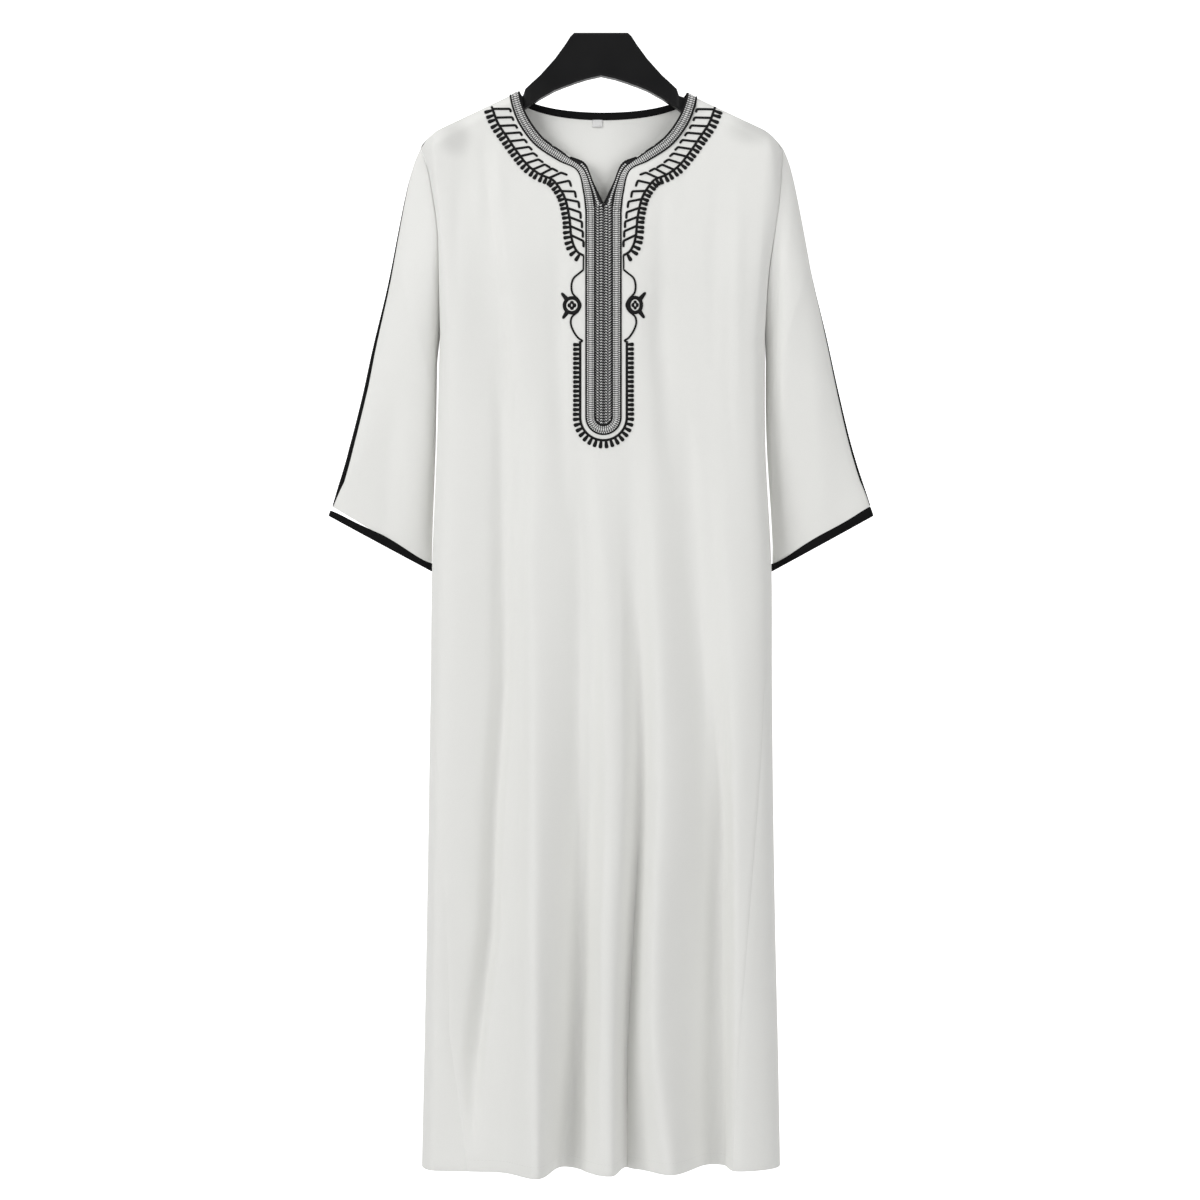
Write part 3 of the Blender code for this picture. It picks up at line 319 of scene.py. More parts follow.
def eased(stops, values, at):
    """Smooth curve through a table's values, read at one or many places."""
    stops, values = np.asarray(stops, float), np.asarray(values, float)
    if stops[0] > stops[-1]:
        stops, values = stops[::-1], values[::-1]
    slopes = np.gradient(values, stops)
    at = np.clip(at, stops[0], stops[-1])
    i = np.clip(np.searchsorted(stops, at, side="right") - 1, 0, len(stops) - 2)
    h = stops[i + 1] - stops[i]
    t = (at - stops[i]) / h
    return ((2 * t**3 - 3 * t**2 + 1) * values[i] + (t**3 - 2 * t**2 + t) * h * slopes[i]
            + (3 * t**2 - 2 * t**3) * values[i + 1] + (t**3 - t**2) * h * slopes[i + 1])


def soft_step(share):
    """Share from 0 to 1 that starts and ends slowly."""
    return share * share * (3.0 - 2.0 * share)


def unit(directions):
    return directions / np.maximum(np.linalg.norm(directions, axis=-1, keepdims=True), 1e-12)


def smooth_through(points, at, closed=False):
    """Smooth line through points, read at fractional places in their order."""
    points, at = np.asarray(points, float), np.asarray(at, float)
    count = len(points)
    if closed:
        first = np.floor(at).astype(int)
        four = [points[(first + k) % count] for k in (-1, 0, 1, 2)]
    else:
        run = np.vstack((2 * points[0] - points[1], points, 2 * points[-1] - points[-2]))
        first = np.clip(np.floor(at).astype(int), 0, count - 2)
        four = [run[first + 1 + k] for k in (-1, 0, 1, 2)]
    t = (at - first)[:, None]
    d0, d1, d2 = (np.maximum(np.linalg.norm(four[k + 1] - four[k], axis=1, keepdims=True), 1e-6)
                  ** 0.5 for k in range(3))
    m1 = (four[1] - four[0]) / d0 - (four[2] - four[0]) / (d0 + d1) + (four[2] - four[1]) / d1
    m2 = (four[2] - four[1]) / d1 - (four[3] - four[1]) / (d1 + d2) + (four[3] - four[2]) / d2
    return ((2 * t**3 - 3 * t**2 + 1) * four[1] + (t**3 - 2 * t**2 + t) * d1 * m1
            + (3 * t**2 - 2 * t**3) * four[2] + (t**3 - t**2) * d1 * m2)


def body_outline(z, numbers):
    """Points of the body's closed outline at one level, at fold numbers along it."""
    folds = [(eased(LEVELS, across, z), eased(LEVELS, deep, z)) for across, deep in FRONT_FOLDS]
    down = (UNDERARM_Z - z) / (UNDERARM_Z - HEM_Z)
    for x_top, x_hem, *deep in BACK_FOLDS:
        folds.append((x_top + (x_hem - x_top) * down, eased((0.0, 0.4, 1.0), deep, down)))
    ring = smooth_through(np.array(folds) * MM, numbers, closed=True)
    return np.column_stack((ring, np.full(len(numbers), z)))


def shoulder_height(x):
    out = np.abs(x)
    bend = np.maximum(out - SHOULDER_BEND_START, 0.0)
    fall = SHOULDER_SLOPE * np.maximum(out - SHOULDER_START, 0.0)
    return SHOULDER_Z - fall - SHOULDER_BEND * bend * bend


def shoulder_depth(x, z, face):
    """Depth of the cloth below the shoulder line, rounded over the hanger."""
    share = np.clip((np.abs(x) - SHOULDER_START) / (ROUND_END - SHOULDER_START), 0.0, 1.0)
    radius = ROUND_NECK + (ROUND_TIP - ROUND_NECK) * share
    drop = np.maximum(shoulder_height(x) - z, 0.0)
    t = np.minimum(drop / radius, 1.0)
    fall = np.clip(drop / DEPTH_REACH, 0.0, 1.0)
    reach = radius + (FULL_DEPTH - radius) * soft_step(fall)
    depth = reach * np.sqrt(1.0 - (1.0 - t) ** 2)
    return -depth if face == "front" else depth


def armhole(side, share, face):
    """Points of the armhole seam: share 0 at the underarm, 1 at the shoulder."""
    share = np.asarray(share, float)
    z = UNDERARM_Z + (TIP_Z - UNDERARM_Z) * share
    x = SIDES[side] * eased(ARMHOLE_Z, ARMHOLE_OUT[side], z)
    swell = np.maximum(np.sin(math.pi * share), 0.0) ** 0.8
    y = UNDERARM_Y * (1.0 - share) + ARMHOLE_SWELL[face] * swell
    return np.stack((x, y, z), axis=-1)


def seam_numbers(numbers, z, face):
    """Fold numbers of a panel's columns at one level, drawn in between its two seams."""
    first, last = numbers[0], numbers[-1]
    sides = ("left", "right") if face == "front" else ("right", "left")
    reach = 3.0 if face == "front" else 2.0
    moves = [np.interp(-z, *GORE_SEAMS[(side, face)]) if z < GORE_TOP_Z else 0.0 for side in sides]
    near = np.clip((first + reach - numbers) / reach, 0.0, 1.0)
    far = np.clip((numbers - last + reach) / reach, 0.0, 1.0)
    return numbers + moves[0] * near - moves[1] * far


def spread(counts, start):
    """Column numbers: so many even steps from each fold to the next."""
    parts = [start + k + np.arange(count) / count for k, count in enumerate(counts)]
    return np.append(np.concatenate(parts), start + len(counts))


def body_panel(numbers, top_x, top_z, face):
    """Rows of points of a whole panel, from its top edge down to the hem."""
    base = body_outline(UNDERARM_Z, numbers)
    share = UPPER_ROWS[:, None]
    x = base[:, 0] + (top_x - base[:, 0]) * share
    z = base[:, 2] + (top_z - base[:, 2]) * share
    start = base[:, 1] - shoulder_depth(base[:, 0], base[:, 2], face)
    upper = np.stack((x, shoulder_depth(x, z, face) + start * (1.0 - share) ** 1.5, z), axis=-1)
    sides = ("left", "right") if face == "front" else ("right", "left")
    for side, edge in zip(sides, (0, -1)):
        gap = armhole(side, UPPER_ROWS, face) - upper[:, edge]
        near = np.clip(1.0 - np.abs(numbers - numbers[edge]), 0.0, 1.0)
        upper += gap[:, None] * np.stack((near, near**2, near), axis=-1)
    lower = [body_outline(z, seam_numbers(numbers, z, face)) for z in LOWER_ROWS[1:]]
    return np.concatenate((upper[::-1], np.array(lower)))


def outward_of(rows):
    """Directions out of the cloth, square to a sheet of rows of points."""
    return unit(np.cross(np.gradient(rows, axis=0), np.gradient(rows, axis=1)))


def sheet_faces(row_count, column_count, offset=0):
    a = offset + (np.arange(row_count - 1)[:, None] * column_count + np.arange(column_count - 1))
    a = a.ravel()
    return np.column_stack((a, a + column_count, a + column_count + 1, a + 1))


def creased(rows, creases, face):
    """The sheet with soft troughs and ridges pressed into it along their own lines."""
    out = outward_of(rows)
    x, z = rows[..., 0], rows[..., 2]
    push = np.zeros(x.shape)
    for heights, across, lift, left_width, right_width in creases:
        order = np.argsort(heights)
        middle = np.interp(z, np.array(heights)[order], np.array(across)[order] * MM)
        high = np.interp(z, np.array(heights)[order], np.array(lift)[order] * MM)
        beside = x - middle
        width = np.where(beside < 0.0, left_width, right_width) * MM
        push += high * np.exp(-(beside / width) ** 2)
    side = 1.0 if face == "front" else -1.0
    facing = np.clip(-side * out[..., 1] * 2.0, 0.0, 1.0)
    return rows + out * (push * facing)[..., None]


def slow_wave(rows, seed, tall, wide, high):
    """The sheet with a slow, uneven wave in it that runs mostly up and down."""
    out = outward_of(rows)
    flat = rows.reshape(-1, 3)
    lift = [noise.noise(Vector((p[0] / wide, p[1] / wide + seed, p[2] / tall))) for p in flat]
    return rows + out * (np.array(lift).reshape(rows.shape[:2]) * high)[..., None]


def hemmed(rows):
    """The sheet with its lower edge turned up on the inside, as a sewn hem."""
    out = outward_of(rows)[-1]
    steps = ((0.25, -0.4 * MM), (1.0, 0.0), (1.3, 0.3 * HEM_DEPTH), (1.0, HEM_DEPTH))
    turned = [rows[-1] - out * CLOTH_THICKNESS * share + np.array((0.0, 0.0, rise))
              for share, rise in steps]
    return np.concatenate((rows, turned))


def fabric_sheet(name, parts, material):
    """One cloth piece from sheets of rows, joined where their points coincide."""
    points = np.concatenate([part.reshape(-1, 3) for part in parts])
    starts = np.cumsum([0] + [part.shape[0] * part.shape[1] for part in parts])
    faces = np.concatenate([sheet_faces(*part.shape[:2], start)
                            for part, start in zip(parts, starts)])
    keys = np.round(points * 5e4).astype(np.int64)
    first, joined = np.unique(keys, axis=0, return_index=True, return_inverse=True)[1:]
    corners = joined.ravel()[faces].tolist()
    kept = [[v for k, v in enumerate(face) if v != face[k - 1]] for face in corners]
    return plain_mesh(name, points[first], [face for face in kept if len(face) > 2], material)


def kept_edges(row_count, column_count, top_rows):
    """Weights that leave the seamed edges of a panel in place: 0 there and 1 inside."""
    down = np.clip(np.arange(row_count) / top_rows, 0.0, 1.0)
    across = np.arange(column_count)
    beside = np.clip(np.minimum(across, column_count - 1 - across) / 7.0, 0.0, 1.0)
    return soft_step(down[:, None] * beside[None, :])


def sunk_seams(rows):
    """The sheet with its two side edges drawn in a little, as a pressed seam lies."""
    out = outward_of(rows)
    for column in (0, -1):
        rows[:, column] -= out[:, column] * SEAM_SINK
    return rows


def pressed_panel(rows, creases, face, seed, tall, high):
    """The panel with its creases and a slow wave, except where its seams hold it."""
    pressed = slow_wave(creased(rows, creases, face), seed, tall, WAVE_WIDE, high)
    free = kept_edges(*rows.shape[:2], SEAMED_ROWS)
    return sunk_seams(rows + (pressed - rows) * free[..., None])


# Crepe: threads so tightly twisted that the weave puckers into a fine, even pebble
CREPE_WHITE = (0.800, 0.800, 0.776)
CREPE_PEBBLE = 0.0011
CREPE_THREAD = 0.00042
CREPE_HEIGHT = 0.00011
WAVES_IN_SCALE = 0.314
# Painted shade: how much darker the crepe's colour is made where the black hanger lies under it and
# shows through
HANGER_SHOW_THROUGH_SHADE = 0.16


def crepe_weave_group():
    """Height of a puckered plain weave: crossed threads bent by a fine pebble."""
    group, given, out = new_group(
        "crepe_weave",
        (("Thread", "Float", CREPE_THREAD), ("Pebble", "Float", CREPE_PEBBLE)),
        (("Height", "Float"), ("Shade", "Float")))
    place = node_of(group, "ShaderNodeNewGeometry")
    pebble_scale = number_of(group, "DIVIDE", 1.0, given.outputs["Pebble"])
    thread_scale = number_of(group, "DIVIDE", WAVES_IN_SCALE, given.outputs["Thread"])
    pebble = node_of(group, "ShaderNodeTexNoise",
                     {"Vector": place.outputs["Position"], "Scale": pebble_scale,
                      "Detail": 3.0, "Roughness": 0.6, "Distortion": 0.4})
    across, upright = (
        node_of(group, "ShaderNodeTexWave",
                {"Vector": place.outputs["Position"], "Scale": thread_scale,
                 "Distortion": 1.5, "Detail": 1.0, "Detail Scale": 0.6},
                wave_type="BANDS", bands_direction=direction) for direction in ("X", "Z"))
    woven = number_of(group, "MULTIPLY", across.outputs["Fac"], upright.outputs["Fac"])
    height = number_of(group, "MULTIPLY_ADD", pebble.outputs["Fac"], 2.0, woven)
    shade = node_of(group, "ShaderNodeMapRange",
                    {"Value": pebble.outputs["Fac"], "From Min": 0.3, "From Max": 0.7,
                     "To Min": 0.975, "To Max": 1.0})
    group.links.new(height, out.inputs["Height"])
    put_out(group, out, Shade=shade)
    return group


CREPE_WEAVE = crepe_weave_group()


def crepe_material(name, paints_hanger_shade):
    material, tree, shader = principled(name, CREPE_WHITE, 0.88, Sheen_Weight=0.08,
                                        Sheen_Roughness=0.5, Specular_IOR_Level=0.25)
    tone = place_group(tree, UNEVEN_TONE, Colour=(*CREPE_WHITE, 1.0), Patch_size=0.22,
                       Darkening=0.018, Rough_low=0.82, Rough_high=0.92)
    weave = place_group(tree, CREPE_WEAVE)
    shade = weave.outputs["Shade"]
    # Painted shade where the black hanger shows through the thin crepe: the colour darkens by the
    # marked share
    if paints_hanger_shade:
        under = node_of(tree, "ShaderNodeAttribute", attribute_name="hanger_under")
        darker = number_of(tree, "MULTIPLY_ADD", under.outputs["Fac"], -HANGER_SHOW_THROUGH_SHADE, 1.0)
        shade = number_of(tree, "MULTIPLY", shade, darker)
    colour = scaled_colour(tree, tone.outputs["Colour"], shade)
    feeds = {"Base Color": colour.outputs[0], "Roughness": tone.outputs["Roughness"]}
    join_surface(tree, shader, feeds, weave.outputs["Height"], 0.5, CREPE_HEIGHT)
    return material


# The crepe over the hanger is a copy of the crepe that carries the painted hanger shade; the other
# has none
SHOULDER_CREPE = crepe_material("robe_crepe_over_hanger", True)
CREPE = crepe_material("robe_crepe", False)
CLOTH_THICKNESS = 0.0009
HEM_DEPTH = 0.016
SEAM_SINK = 0.0005
SEAMED_ROWS = 16
WAVE_WIDE = 0.085
# Patches of painted shade at the hanger's two ends: middle across and up, then half width and half
# height
HANGER_PATCHES = ((-0.181, -0.134, 0.021, 0.026), (0.189, -0.124, 0.034, 0.021))


def paint_hanger_shade(piece):
    """Marks the cloth at the ends of the hanger for painted shade, where the hanger's black shows
    through the crepe a little.
    """
    places = np.array([vertex.co for vertex in piece.data.vertices])
    mark = np.zeros(len(places))
    for x, z, half_width, half_height in HANGER_PATCHES:
        off = np.hypot((places[:, 0] - x) / half_width, (places[:, 2] - z) / half_height)
        mark = np.maximum(mark, np.clip(1.25 - off, 0.0, 1.0))
    layer = piece.data.attributes.new("hanger_under", "FLOAT", "POINT")
    layer.data.foreach_set("value", soft_step(mark).astype(np.float32))


# The front panel: crepe from the shoulder seam down to the hem, with the neckline and its slit
# cut out and faced on the inside. Long folds hang from the shoulders and deepen to the hem.

FRONT_COLUMNS = (10, 20, 12, 14, 36, 30, 10, 10, 20, 16, 40, 16, 20, 10)
FRONT_SHOULDER = {"turn": 0.206, "valley": 0.163, "slope": 0.140}
NECK_CENTRE = (0.021, -0.070)
NECK_EDGE = (0.084, 0.092, 1.7, 0.055)
BRAID_LINE = (0.0955, 0.100, 1.9, 0.0854)
NECK_STOPS = (0.0, 0.012, 0.03, 0.06, 0.13, 0.28, 0.50, 0.75)
SLIT = ((0.0236, -0.1655), (0.0124, -0.1905), (0.0, -0.217))
BRAID_FLARE = ((0.0325, -0.1745), (0.0243, -0.204), (0.0215, -0.227))
BRAID_CORE = (0.0105, -0.222)
COLLAR_ROWS = 9
FACING = ((-0.0004, 0.0005), (0.0004, 0.0011), (0.009, 0.0012))
# How far in mm the cloth of the four long folds swings to the right, at heights down the front
SWING_PLACES = (-0.125, -0.045, 0.031, 0.125)
SWING_HEIGHTS = (-0.40, -0.508, -0.658, -0.808, -0.964, -1.117, -1.27, -1.414)
SWING = ((0, 19, 19, 21, 22, 18, 12, 6), (0, 14, 28, 27, 26, 20, 15, 12),
         (0, 8, 12, 17, 17, 10, 5, 3), (0, 8, 12, 14, 14, 10, 8, 5))
# The slow wave in the cloth: where its pattern starts, how long it is and how high
FRONT_WAVE = {"seed": 3.7, "tall": 0.34, "high": 0.0028}
# Creases: heights, places across and lift in mm, then the width of the left and right flank
FRONT_CREASES = (
    ((-0.34, -0.40, -0.508, -0.658, -0.808, -0.964, -1.117, -1.27, -1.385),
     (-128, -121, -121, -120, -121, -132, -138, -156, -160),
     (0.0, -4.5, -6.5, -8.5, -10.5, -13.0, -14.0, -12.0, 0.0), 12, 8),
    ((-0.13, -0.20, -0.26, -0.33, -0.40, -0.50), (-152, -142, -134, -126, -121, -120),
     (0.0, -4.6, -7.0, -7.0, -5.0, 0.0), 40, 10),
    ((-0.22, -0.30, -0.42, -0.52, -0.64), (-52, -54, -52, -48, -42),
     (0.0, -1.8, -2.4, -1.8, 0.0), 13, 9),
    ((-0.16, -0.24, -0.38, -0.50, -0.60), (78, 74, 74, 80, 92),
     (0.0, -1.8, -2.4, -2.0, 0.0), 12, 12),
    ((-0.56, -0.658, -0.808, -0.964, -1.117, -1.27, -1.414),
     (-34, -28, -27, -28, -27, -27, -26), (0.0, -1.6, -2.2, -2.6, -2.6, -2.2, -2.4), 12, 6),
    ((-0.56, -0.658, -0.808, -0.964, -1.117, -1.27, -1.414),
     (26, 32, 46, 48, 45, 42, 42), (0.0, -1.0, -0.6, 1.0, 4.0, 6.0, 6.0), 13, 10),
    ((-0.46, -0.508, -0.658, -0.808, -0.964, -1.117, -1.27, -1.414),
     (104, 107, 117, 126, 133, 144, 148, 150), (0.0, -1.0, -1.8, -2.2, -2.4, -2.8, -3.0, -3.0),
     15, 8),
    ((-0.12, -0.20, -0.30), (-158, -152, -150), (0.0, 2.2, 0.0), 9, 12),
    ((-0.11, -0.19, -0.32), (-128, -127, -126), (0.0, 1.8, 0.0), 8, 10),
    ((-0.14, -0.24, -0.40), (-174, -178, -180), (0.0, -2.0, 0.0), 10, 10),
    ((-0.16, -0.30, -0.60), (172, 168, 170), (0.0, 2.0, 0.0), 9, 9),
    ((-0.14, -0.28, -0.52), (150, 141, 136), (0.0, -1.8, 0.0), 11, 11),
)


def neck_curve(shape, share):
    """Point of a neck curve, out from the axis and down, at a share of its quarter turn."""
    across, down, power, start = shape
    angle = start + (0.5 * math.pi - start) * share
    return (NECK_CENTRE[0] + across * math.cos(angle) ** (2.0 / power),
            NECK_CENTRE[1] - down * math.sin(angle) ** (2.0 / power))


NECK_EDGE_STOPS = [neck_curve(NECK_EDGE, share) for share in NECK_STOPS] + list(SLIT)
BRAID_LINE_STOPS = [neck_curve(BRAID_LINE, 0.98 * share) for share in NECK_STOPS]
BRAID_LINE_STOPS += list(BRAID_FLARE)


def neck_stop(numbers, side):
    """Places along the neck lines of the front panel's columns on one side."""
    if side == "left":
        return np.interp(numbers, (4, 5, 6), (0, 6, 10))
    return np.interp(numbers, (8, 9, 10, 11), (10, 7, 5, 0))


def front_top(numbers):
    """Top edge of the front panel's main part: shoulders, outside of the braid, slit's foot."""
    half, flare, core = BRAID_LINE_STOPS[0][0], BRAID_FLARE[-1], BRAID_CORE
    turn, valley, slope = FRONT_SHOULDER.values()
    x = np.interp(numbers, (0, 1, 2, 3, 4, 6, 6.5, 7.5, 8, 11, 12, 13, 14),
                  (TIP_LEFT, -turn, -valley, -slope, AXIS_X - half, AXIS_X - flare[0],
                   AXIS_X - core[0], AXIS_X + core[0], AXIS_X + flare[0], AXIS_X + half,
                   valley, turn, TIP_RIGHT))
    z = shoulder_height(x)
    z[[0, -1]] = TIP_Z
    middle = np.abs(numbers - 7.0) < 1.0
    z[middle] = np.interp(np.abs(numbers[middle] - 7.0), (0.0, 0.5, 1.0),
                          (SLIT[-1][1], core[1], flare[1]))
    for side, sign, low, high in (("left", -1.0, 4.0, 6.0), ("right", 1.0, 8.0, 11.0)):
        beside = (numbers > low) & (numbers <= high) if side == "left" else (
            (numbers >= low) & (numbers < high))
        line = smooth_through(BRAID_LINE_STOPS, neck_stop(numbers[beside], side))
        x[beside] = AXIS_X + sign * line[:, 0]
        z[beside] = line[:, 1]
    return x, z


def on_front(flat):
    """Points of the front's upper part from places across and up."""
    x = flat[..., 0]
    z = np.minimum(flat[..., 1], shoulder_height(x))
    return np.stack((x, shoulder_depth(x, z, "front"), z), axis=-1)


def collar_strip(numbers, side):
    """The cloth between the outside of the braid and the neck edge, then its facing inside."""
    low, high = (4.0, 6.0) if side == "left" else (8.0, 11.0)
    stops = neck_stop(numbers[(numbers >= low) & (numbers <= high)], side)
    edge = smooth_through(NECK_EDGE_STOPS, stops)
    line = smooth_through(BRAID_LINE_STOPS, stops)
    share = np.linspace(0.0, 1.0, COLLAR_ROWS)[:, None, None]
    flat = edge + (line - edge) * share
    flat[..., 0] = AXIS_X + SIDES[side] * flat[..., 0]
    rows = on_front(flat)
    out = outward_of(rows)[0]
    away = unit(rows[1] - rows[0])
    facing = [rows[0] + away * along - out * under for along, under in FACING[::-1]]
    return np.concatenate((np.array(facing), rows))


def swung(rows):
    """The front with its long folds swung to the right, between side seams that stay."""
    moves = [eased(SWING_HEIGHTS, column, rows[:, 0, 2]) * MM for column in SWING]
    for row, *move in zip(rows, *moves):
        row[:, 0] += np.interp(row[:, 0], (row[0, 0], *SWING_PLACES, row[-1, 0]),
                               (0.0, *move, 0.0))
    return rows


def on_robe(piece, node=None):
    """The piece put on the robe, and in place of a plain solid if it has one."""
    if node:
        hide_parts(node)
    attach(piece, "root")
    return piece


front_numbers = spread(FRONT_COLUMNS, 0.0)
front_rows = swung(body_panel(front_numbers, *front_top(front_numbers), "front"))
front_rows = hemmed(pressed_panel(front_rows, FRONT_CREASES, "front", **FRONT_WAVE))
front_panel = fabric_sheet(
    "front_panel_crepe",
    [front_rows, collar_strip(front_numbers, "left"), collar_strip(front_numbers, "right")],
    SHOULDER_CREPE)
paint_hanger_shade(front_panel)
on_robe(front_panel, "front_panel")


# The back panel: the same crepe, in one piece from shoulder to hem, with a shallow back neck.
# Three rounded folds stand out behind and deepen towards the hem.

BACK_COLUMNS = (10, 18, 14, 24, 24, 24, 24, 14, 18, 10)
BACK_NECK_HALF = 0.105
BACK_NECK_DEEP = 0.0262
BINDING_WIDTH = 0.010
NECK_TUCK = 0.002
DRAPE_FORWARD = 0.026
DRAPE_HALF = 0.085
BACK_WAVE = {"seed": 11.3, "tall": 0.36, "high": 0.0032}
BACK_CREASES = (
    ((-0.13, -0.24, -0.42), (-150, -146, -142), (0.0, 2.0, 0.0), 10, 10),
    ((-0.13, -0.26, -0.45), (148, 146, 140), (0.0, 2.2, 0.0), 10, 10),
    ((-0.18, -0.36, -0.70), (-60, -62, -70), (0.0, -1.8, 0.0), 14, 12),
    ((-0.20, -0.42, -0.80), (66, 60, 58), (0.0, -2.0, 0.0), 12, 14),
    ((-0.60, -0.95, -1.40), (20, 24, 26), (0.0, 2.4, 1.0), 10, 12),
)


def back_neck(share, below):
    """Back neck edge, or a line that far below it, from the right (0) to the left (1)."""
    span, deep = BACK_NECK_HALF + below, BACK_NECK_DEEP + below
    start = math.asin(min((NECK_CENTRE[1] - float(shoulder_height(span - NECK_TUCK))) / deep, 1.0))
    share = 0.5 - 0.5 * np.cos(math.pi * np.asarray(share, float))
    angle = start + (math.pi - 2.0 * start) * share
    return AXIS_X + span * np.cos(angle), NECK_CENTRE[1] - deep * np.sin(angle)


def back_top(numbers):
    along = numbers - RIGHT_SIDE
    turn, valley = FRONT_SHOULDER["turn"], FRONT_SHOULDER["valley"]
    reach = BACK_NECK_HALF + BINDING_WIDTH - NECK_TUCK
    x = np.interp(along, (0, 1, 2, 3, 7, 8, 9, 10),
                  (TIP_RIGHT, turn, valley, AXIS_X + reach, AXIS_X - reach, -valley, -turn,
                   TIP_LEFT))
    z = shoulder_height(x)
    z[[0, -1]] = TIP_Z
    neck = (along >= 3.0) & (along <= 7.0)
    neck_x, neck_z = back_neck((along[neck] - 3.0) / 4.0, BINDING_WIDTH)
    x[neck] = neck_x
    z[neck] = np.minimum(neck_z, shoulder_height(neck_x))
    return x, z


def back_drape(points):
    """The back cloth below the neck, which hangs forward under the bar of the hanger."""
    x, z = points[..., 0], points[..., 2]
    down = eased((0.10, 0.175, 0.30, 0.60), (0.0, 1.0, 1.0, 0.0), -z)
    points = np.array(points)
    points[..., 1] -= DRAPE_FORWARD * np.exp(-(x / DRAPE_HALF) ** 2) * down
    return points


back_numbers = spread(BACK_COLUMNS, float(RIGHT_SIDE))
back_rows = body_panel(back_numbers, *back_top(back_numbers), "back")
back_rows = pressed_panel(back_rows, BACK_CREASES, "back", **BACK_WAVE)
back_rows = hemmed(back_drape(back_rows))
back_panel = fabric_sheet("back_panel_crepe", [back_rows], SHOULDER_CREPE)
paint_hanger_shade(back_panel)
on_robe(back_panel, "back_panel")


# The side gores: long narrow triangles of crepe let into the side seams below the hip, which
# give the hem its width. Each is sewn to the front and the back panel along its two long sides.

GORE_COLUMNS = 26


def side_gore(side):
    middle = FOLD_COUNT if side == "left" else RIGHT_SIDE
    order = ("back", "front") if side == "left" else ("front", "back")
    rows = []
    step = LOWER_ROWS[0] - LOWER_ROWS[1]
    for z in LOWER_ROWS[LOWER_ROWS < GORE_TOP_Z + step]:
        before, after = (np.interp(-z, *GORE_SEAMS[(side, face)]) for face in order)
        numbers = np.linspace(middle - before, middle + after, GORE_COLUMNS + 1)
        rows.append(body_outline(z, numbers))
    piece = fabric_sheet(side + "_gore_crepe", [hemmed(sunk_seams(np.array(rows)))], CREPE)
    on_robe(piece, side + "_gore")


for side in SIDES:
    side_gore(side)


# The sleeves: three-quarter length, each cut in one piece of crepe, set into the armhole and
# open at the slanted cuff. They hang nearly flat beside the body.

SLEEVE_OUTER_Z = (-0.143, -0.161, -0.181, -0.211, -0.251, -0.303, -0.383, -0.463, -0.543, -0.603)
SLEEVE_OUTER_X = (0.2255, 0.233, 0.2388, 0.2456, 0.2538, 0.2644, 0.283, 0.300, 0.3206, 0.3406)
CUFF_INNER = (0.024, -0.672)
CUFF_OUTER_Y = 0.008
SLEEVE_DEPTH = {"front": (0.022, 0.027, 0.019, 0.012), "back": (0.024, 0.022, 0.017, 0.012)}
SLEEVE_CLEAR = 0.0022
SLEEVE_COLUMNS = 120
SLEEVE_ROWS = 110
CUFF_START = 0.974
SLEEVE_WAVE = {"tall": 0.16, "wide": 0.06, "high": 0.0026}
SLEEVE_WAVE_SEED = {"left": 5.1, "right": 8.9}
SLEEVE_CREASES = {
    "left": (((-0.40, -0.53, -0.66), (-252, -262, -274), (0.0, -3.0, -2.0), 14, 14),
             ((-0.44, -0.52, -0.59), (-282, -300, -318), (0.0, 3.2, 0.5), 16, 14)),
    "right": (((-0.15, -0.28, -0.46, -0.66), (228, 219, 216, 219), (0.0, -3.4, -3.0, -1.0), 7, 8),
              ((-0.30, -0.46, -0.64), (262, 268, 282), (0.0, 2.4, 1.0), 15, 17)),
}


def sleeve_fold(side, t, which):
    """Outer or inner fold of the sleeve at a share of its length."""
    sign = SIDES[side]
    if which == "outer":
        z = TIP_Z + (SLEEVE_OUTER_Z[-1] - TIP_Z) * t
        start = ARMHOLE_OUT[side][-1] - SLEEVE_OUTER_X[0]
        x = eased(SLEEVE_OUTER_Z, SLEEVE_OUTER_X, z) + start * (1.0 - t) ** 4
        return np.array((sign * x, CUFF_OUTER_Y * t, z))
    z = UNDERARM_Z + (CUFF_INNER[1] - UNDERARM_Z) * t
    across = FRONT_FOLDS[0 if side == "left" else RIGHT_SIDE][0]
    x = abs(eased(LEVELS, across, z)) * MM + SLEEVE_CLEAR * min(t / 0.12, 1.0)
    return np.array((sign * x, UNDERARM_Y + (CUFF_INNER[0] - UNDERARM_Y) * t, z))


def sleeve_half(side, share, t, face):
    """Points of one half of the sleeve: share 0 at the inner fold, 1 at the outer fold."""
    inner, outer = sleeve_fold(side, t, "inner"), sleeve_fold(side, t, "outer")
    deep = np.interp(t, (0.0, 0.3, 0.7, 1.0), SLEEVE_DEPTH[face])
    points = inner + (outer - inner) * share[:, None]
    bulge = deep * np.sqrt(np.maximum(4.0 * share * (1.0 - share), 0.0))
    points[:, 1] += -bulge if face == "front" else bulge
    return points


def sleeve_ring(side, t, turn):
    """Ring of the sleeve at a share of its length: turn 0 at the outer fold, 0.5 at the inner."""
    share = 0.5 + 0.5 * np.cos(2.0 * math.pi * turn)
    in_front = (turn % 1.0) < 0.5
    hold = 1.0 - soft_step(min(t / 0.5, 1.0))
    points = np.zeros((len(turn), 3))
    for face, chosen in (("front", in_front), ("back", ~in_front)):
        part = share[chosen]
        seam = armhole(side, part, face) - sleeve_half(side, part, 0.0, face)
        points[chosen] = sleeve_half(side, part, t, face) + seam * hold
    return points


def sleeve_sheet(side, shares, turns):
    """Rows of the sleeve, ordered so that their outward side is the sleeve's outside."""
    rows = np.array([sleeve_ring(side, t, turns) for t in shares])
    return rows if side == "left" else rows[:, ::-1]


